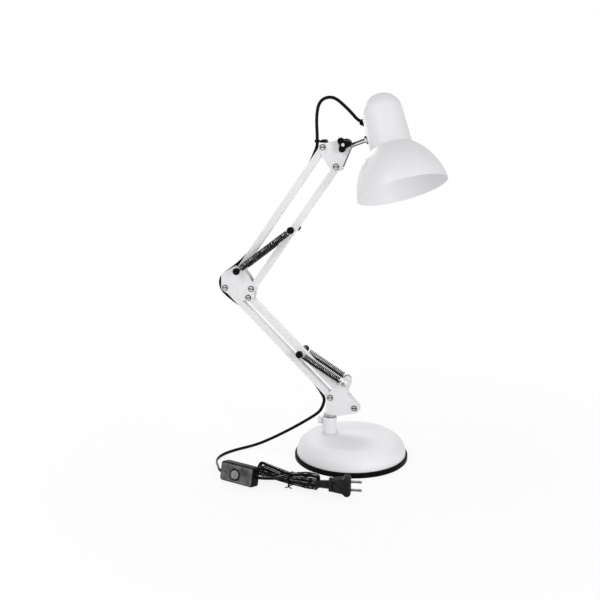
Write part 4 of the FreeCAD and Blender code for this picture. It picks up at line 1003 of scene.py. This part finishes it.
face_half = switch_half("switch_face", -SWITCH_SPLIT + SEAM_HALF, 0.0, 2.0, True)
rear_half = switch_half("switch_rear", -SWITCH_SIZE[2], -SWITCH_SPLIT - SEAM_HALF, 2.0, False)
button_place = face_place @ Matrix.Translation(mm(*BUTTON_SPOT, 0))
RECESS_RADIUS = BUTTON_RADIUS + 1.7
recess = [
    (RECESS_RADIUS, -3.4), (RECESS_RADIUS, -0.5), (RECESS_RADIUS + 0.5, 0.0), (RECESS_RADIUS + 0.7, 1.0),
]
carve(face_half, [lathe_rings(recess, button_place, 64)])
BUTTON_PROFILE = [
    (BUTTON_RADIUS, -1.2), (BUTTON_RADIUS, 1.2), (BUTTON_RADIUS - 0.25, 1.75), (BUTTON_RADIUS - 0.8, 2.05),
    (BUTTON_RADIUS - 2.2, 2.15), (BUTTON_RADIUS - 4.5, 1.95), (0.02, 1.85),
]
button = skins("push_button", "grey_plastic", [lathe_rings(BUTTON_PROFILE, button_place, 64)])
PANEL_INSET, PANEL_RISE = 1.7, 0.12
length, height, _ = SWITCH_SIZE
panel_corners = [
    (PANEL_INSET, PANEL_INSET, 3.0), (length - PANEL_INSET, PANEL_INSET, 2.2),
    (length - PANEL_INSET, height - PANEL_INSET, 2.2), (PANEL_INSET, height - PANEL_INSET, 3.0),
]
panel_layers = [(0.0, -0.3), (0.0, PANEL_RISE - 0.06), (0.1, PANEL_RISE)]
panel_rings = outline_rings(rounded(panel_corners), panel_layers, face_place)
panel = skins("switch_face_panel", "black_plastic", [panel_rings])
carve(panel, [lathe_rings([(RECESS_RADIUS + 0.5, -1), (RECESS_RADIUS + 0.5, 1)], button_place, 64)])
panel.data.materials.clear()
panel.data.materials.append(SWITCH_FACE)
bezel_profile = [
    (BUTTON_RADIUS + 0.15, -0.6), (RECESS_RADIUS + 0.6, -0.6), (RECESS_RADIUS + 0.6, 0.25),
    (RECESS_RADIUS + 0.2, 0.5), (BUTTON_RADIUS + 0.15, 0.4),
]
bezel = skins("switch_bezel", "black_plastic", [lathe_rings(bezel_profile, button_place, 64)], closed=True)
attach(panel, "root")
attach(bezel, "root")
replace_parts(face_half, "switch_face_shell")
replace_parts(rear_half, "switch_rear_shell")
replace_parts(button, "switch_button")
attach(face_half, "root")
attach(rear_half, "root")
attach(button, "switch_button")
SCREW_PROFILE = [(2.1, -0.6), (2.1, 0.1), (1.7, 0.5), (0.02, 0.75)]
back_place = (
    switch_place
    @ Matrix.Translation(mm(0, SWITCH_SIZE[2], 0))
    @ Matrix.Rotation(-math.pi / 2, 4, "X")
)
screw_heads = skins(
    "switch_screw_heads",
    "nickel",
    [
        lathe_rings(SCREW_PROFILE, back_place @ Matrix.Translation(mm(SWITCH_SIZE[0] - 9, -up, 0)), 24)
        for up in (6.5, SWITCH_SIZE[1] - 6.5)
    ],
)
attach(screw_heads, "root")


# ---------------------------------------------------------------- plug

PLUG_HEIGHT, PLUG_DEPTH = 31.0, 15.0
plug_place = (
    Matrix.Translation(mm(9.5, -149.6, PLUG_HEIGHT / 2 + 0.1))
    @ Matrix.Rotation(math.radians(8.5), 4, "Z")
)
# the outline's own plane: X along the plug, Y up, and height towards the near side
plug_side = plug_place @ Matrix.Rotation(math.pi / 2, 4, "X")
plug_axis = plug_place @ Matrix.Rotation(math.pi / 2, 4, "Y")
half = PLUG_HEIGHT / 2
upper = [(27, half - 3.5, 2.0), (24, half, 2.5), (19, half, 2.5), (15, half - 4, 3.0), (0, half - 6.5, 1.0)]
plug_corners = [(x, -y, r) for x, y, r in reversed(upper)] + upper
plug_block = skins(
    "plug_block",
    "black_rubber",
    [outline_rings(rounded(plug_corners, 6), edge_layers(-PLUG_DEPTH / 2, PLUG_DEPTH / 2, 2.2), plug_side)],
)
COLLAR_PROFILE = [
    (3, -4.6), (9.6, -4.5), (10.3, -4.0), (10.5, -3.2), (10.5, -1.2), (10.2, -0.4), (9.4, 0.1), (3, 0.3),
]
RIB_COUNT, FIRST_RIB, RIB_PITCH = 7, -23.8, 2.78
RELIEF_CORE, RELIEF_GROWTH = 5.0, 0.14      # the core's radius at the first rib, and its growth per rib
relief = [(2.5, -24.5), (4.8, -24.5)]
for rib in range(RIB_COUNT):
    foot = FIRST_RIB + rib * RIB_PITCH
    core = RELIEF_CORE + rib * RELIEF_GROWTH
    relief += [(core, foot), (core + 0.8, foot + 0.3), (core + 0.85, foot + 1.2), (core + 0.05, foot + 1.55)]
relief += [(6.2, -4.4), (2.5, -4.4)]
plug_tail = skins(
    "plug_collar_and_relief",
    "black_rubber",
    [lathe_rings(COLLAR_PROFILE, plug_axis, 64), lathe_rings(relief, plug_axis, 48)],
)
for moulding in (plug_block, plug_tail):
    moulding.data.materials[0] = PLUG_BODY
NODES["plug_blades"].data.materials[0] = BLADE_METAL
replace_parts(plug_block, "plug_body")
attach(plug_block, "root")
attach(plug_tail, "root")


# ---------------------------------------------------------------- CAD nodes: softened edges

BEVELS = {
    "lower_bracket_near_plate": 0.3, "lower_bracket_far_plate": 0.3, "elbow_near_plate": 0.3,
    "elbow_far_plate": 0.3, "head_near_plate": 0.3, "head_far_plate": 0.3,
    "lower_bracket_fasteners": 0.3, "elbow_fasteners": 0.3, "head_fasteners": 0.3, "tilt_bolt": 0.3,
    "head_cord_clip": 0.4, "tilt_bolt_cap": 1.2, "post_thumb_screw": 0.5, "base_post": 0.5,
    "plug_blades": 0.25, "shade_rod_nuts": 0.25, "cord_grommet": 0.4, "swivel_barrel": 0.3,
}
for name, width in BEVELS.items():
    obj = NODES[name]
    weld = obj.modifiers.new("weld", "WELD")
    weld.merge_threshold = 1e-6
    bevel = obj.modifiers.new("bevel", "BEVEL")
    bevel.width = width * MM
    bevel.segments = 2
    bevel.limit_method = "ANGLE"
    bevel.angle_limit = math.radians(40)
    bevel.use_clamp_overlap = True


# ---------------------------------------------------------------- floor, world and lights

def open_rays(tree):
    """1 where a ray comes from the camera, from gloss or through glass: those see the white background."""
    path = tree.nodes.new("ShaderNodeLightPath")
    value = path.outputs["Is Camera Ray"]
    for name in ("Is Glossy Ray", "Is Transmission Ray"):
        most = tree.nodes.new("ShaderNodeMath")
        most.operation = "MAXIMUM"
        tree.links.new(value, most.inputs[0])
        tree.links.new(path.outputs[name], most.inputs[1])
        value = most.outputs[0]
    return value


def floor():
    """A white floor. Near the lamp it keeps part of the shadow, and further off it is plain white."""
    mesh = bpy.data.meshes.new("floor")
    reach = 4.0
    corners = [(-reach, -reach, 0), (reach, -reach, 0), (reach, reach, 0), (-reach, reach, 0)]
    mesh.from_pydata(corners, [], [(0, 1, 2, 3)])
    obj = bpy.data.objects.new("floor", mesh)
    scene.collection.objects.link(obj)
    material, tree, bsdf = shader("floor", (0.92, 0.92, 0.92), 0.9, Specular_IOR_Level=0.1)
    place = tree.nodes.new("ShaderNodeTexCoord")
    away = tree.nodes.new("ShaderNodeVectorMath")
    away.operation = "LENGTH"
    fade = tree.nodes.new("ShaderNodeMapRange")
    fade.inputs["From Min"].default_value = 0.2
    fade.inputs["From Max"].default_value = 0.6
    fade.inputs["To Min"].default_value = 0.86
    fade.inputs["To Max"].default_value = 1.0
    share = tree.nodes.new("ShaderNodeMath")
    share.operation = "MULTIPLY"
    glow = tree.nodes.new("ShaderNodeEmission")
    glow.inputs["Strength"].default_value = 1.0
    mix = tree.nodes.new("ShaderNodeMixShader")
    tree.links.new(place.outputs["Object"], away.inputs[0])
    tree.links.new(away.outputs["Value"], fade.inputs["Value"])
    tree.links.new(fade.outputs["Result"], share.inputs[0])
    tree.links.new(open_rays(tree), share.inputs[1])
    tree.links.new(share.outputs[0], mix.inputs["Fac"])
    tree.links.new(bsdf.outputs["BSDF"], mix.inputs[1])
    tree.links.new(glow.outputs["Emission"], mix.inputs[2])
    tree.links.new(mix.outputs["Shader"], tree.nodes["Material Output"].inputs["Surface"])
    mesh.materials.append(material)
    obj.location.z = -0.0002


def world():
    """A soft grey room that lights the lamp, behind a white background."""
    made = bpy.data.worlds.new("studio")
    scene.world = made
    made.use_nodes = True
    tree = made.node_tree
    tree.nodes.clear()
    place = tree.nodes.new("ShaderNodeTexCoord")
    split = tree.nodes.new("ShaderNodeSeparateXYZ")
    ramp = tree.nodes.new("ShaderNodeValToRGB")
    ramp.color_ramp.elements[0].position = 0.0
    ramp.color_ramp.elements[0].color = (0.80, 0.80, 0.80, 1)
    ramp.color_ramp.elements[1].position = 1.0
    ramp.color_ramp.elements[1].color = (0.86, 0.86, 0.86, 1)
    ambient = tree.nodes.new("ShaderNodeBackground")
    ambient.inputs["Strength"].default_value = 0.535
    white = tree.nodes.new("ShaderNodeBackground")
    white.inputs["Color"].default_value = (1, 1, 1, 1)
    mix = tree.nodes.new("ShaderNodeMixShader")
    out = tree.nodes.new("ShaderNodeOutputWorld")
    tree.links.new(place.outputs["Generated"], split.inputs["Vector"])
    tree.links.new(split.outputs["Z"], ramp.inputs["Fac"])
    tree.links.new(ramp.outputs["Color"], ambient.inputs["Color"])
    tree.links.new(open_rays(tree), mix.inputs["Fac"])
    tree.links.new(ambient.outputs["Background"], mix.inputs[1])
    tree.links.new(white.outputs["Background"], mix.inputs[2])
    tree.links.new(mix.outputs["Shader"], out.inputs["Surface"])


def soft_box(name, place, target, size, power):
    """A rectangular area light, aimed at a target."""
    data = bpy.data.lights.new(name, "AREA")
    data.shape = "RECTANGLE"
    data.size, data.size_y = size
    data.energy = power
    obj = bpy.data.objects.new(name, data)
    scene.collection.objects.link(obj)
    obj.location = place
    obj.rotation_euler = (Vector(target) - Vector(place)).to_track_quat("-Z", "Y").to_euler()


floor()
world()
soft_box("key", (-0.9, -1.5, 1.6), (-0.02, 0, 0.3), (0.7, 0.7), 8.4)
soft_box("fill", (1.5, -1.2, 0.7), (0.05, 0, 0.3), (0.5, 1.2), 13.5)
soft_box("side", (-1.6, -0.5, 0.8), (0, 0, 0.3), (0.7, 1.2), 2.4)
soft_box("behind", (-0.25, 0.25, 0.55), (0, -0.02, 0.04), (0.3, 0.3), 1.35)
soft_box("mouth", (0.14, -0.42, 0.20), (0.06, 0, 0.46), (0.15, 0.15), 0.2)
scene.view_settings.view_transform = "Standard"
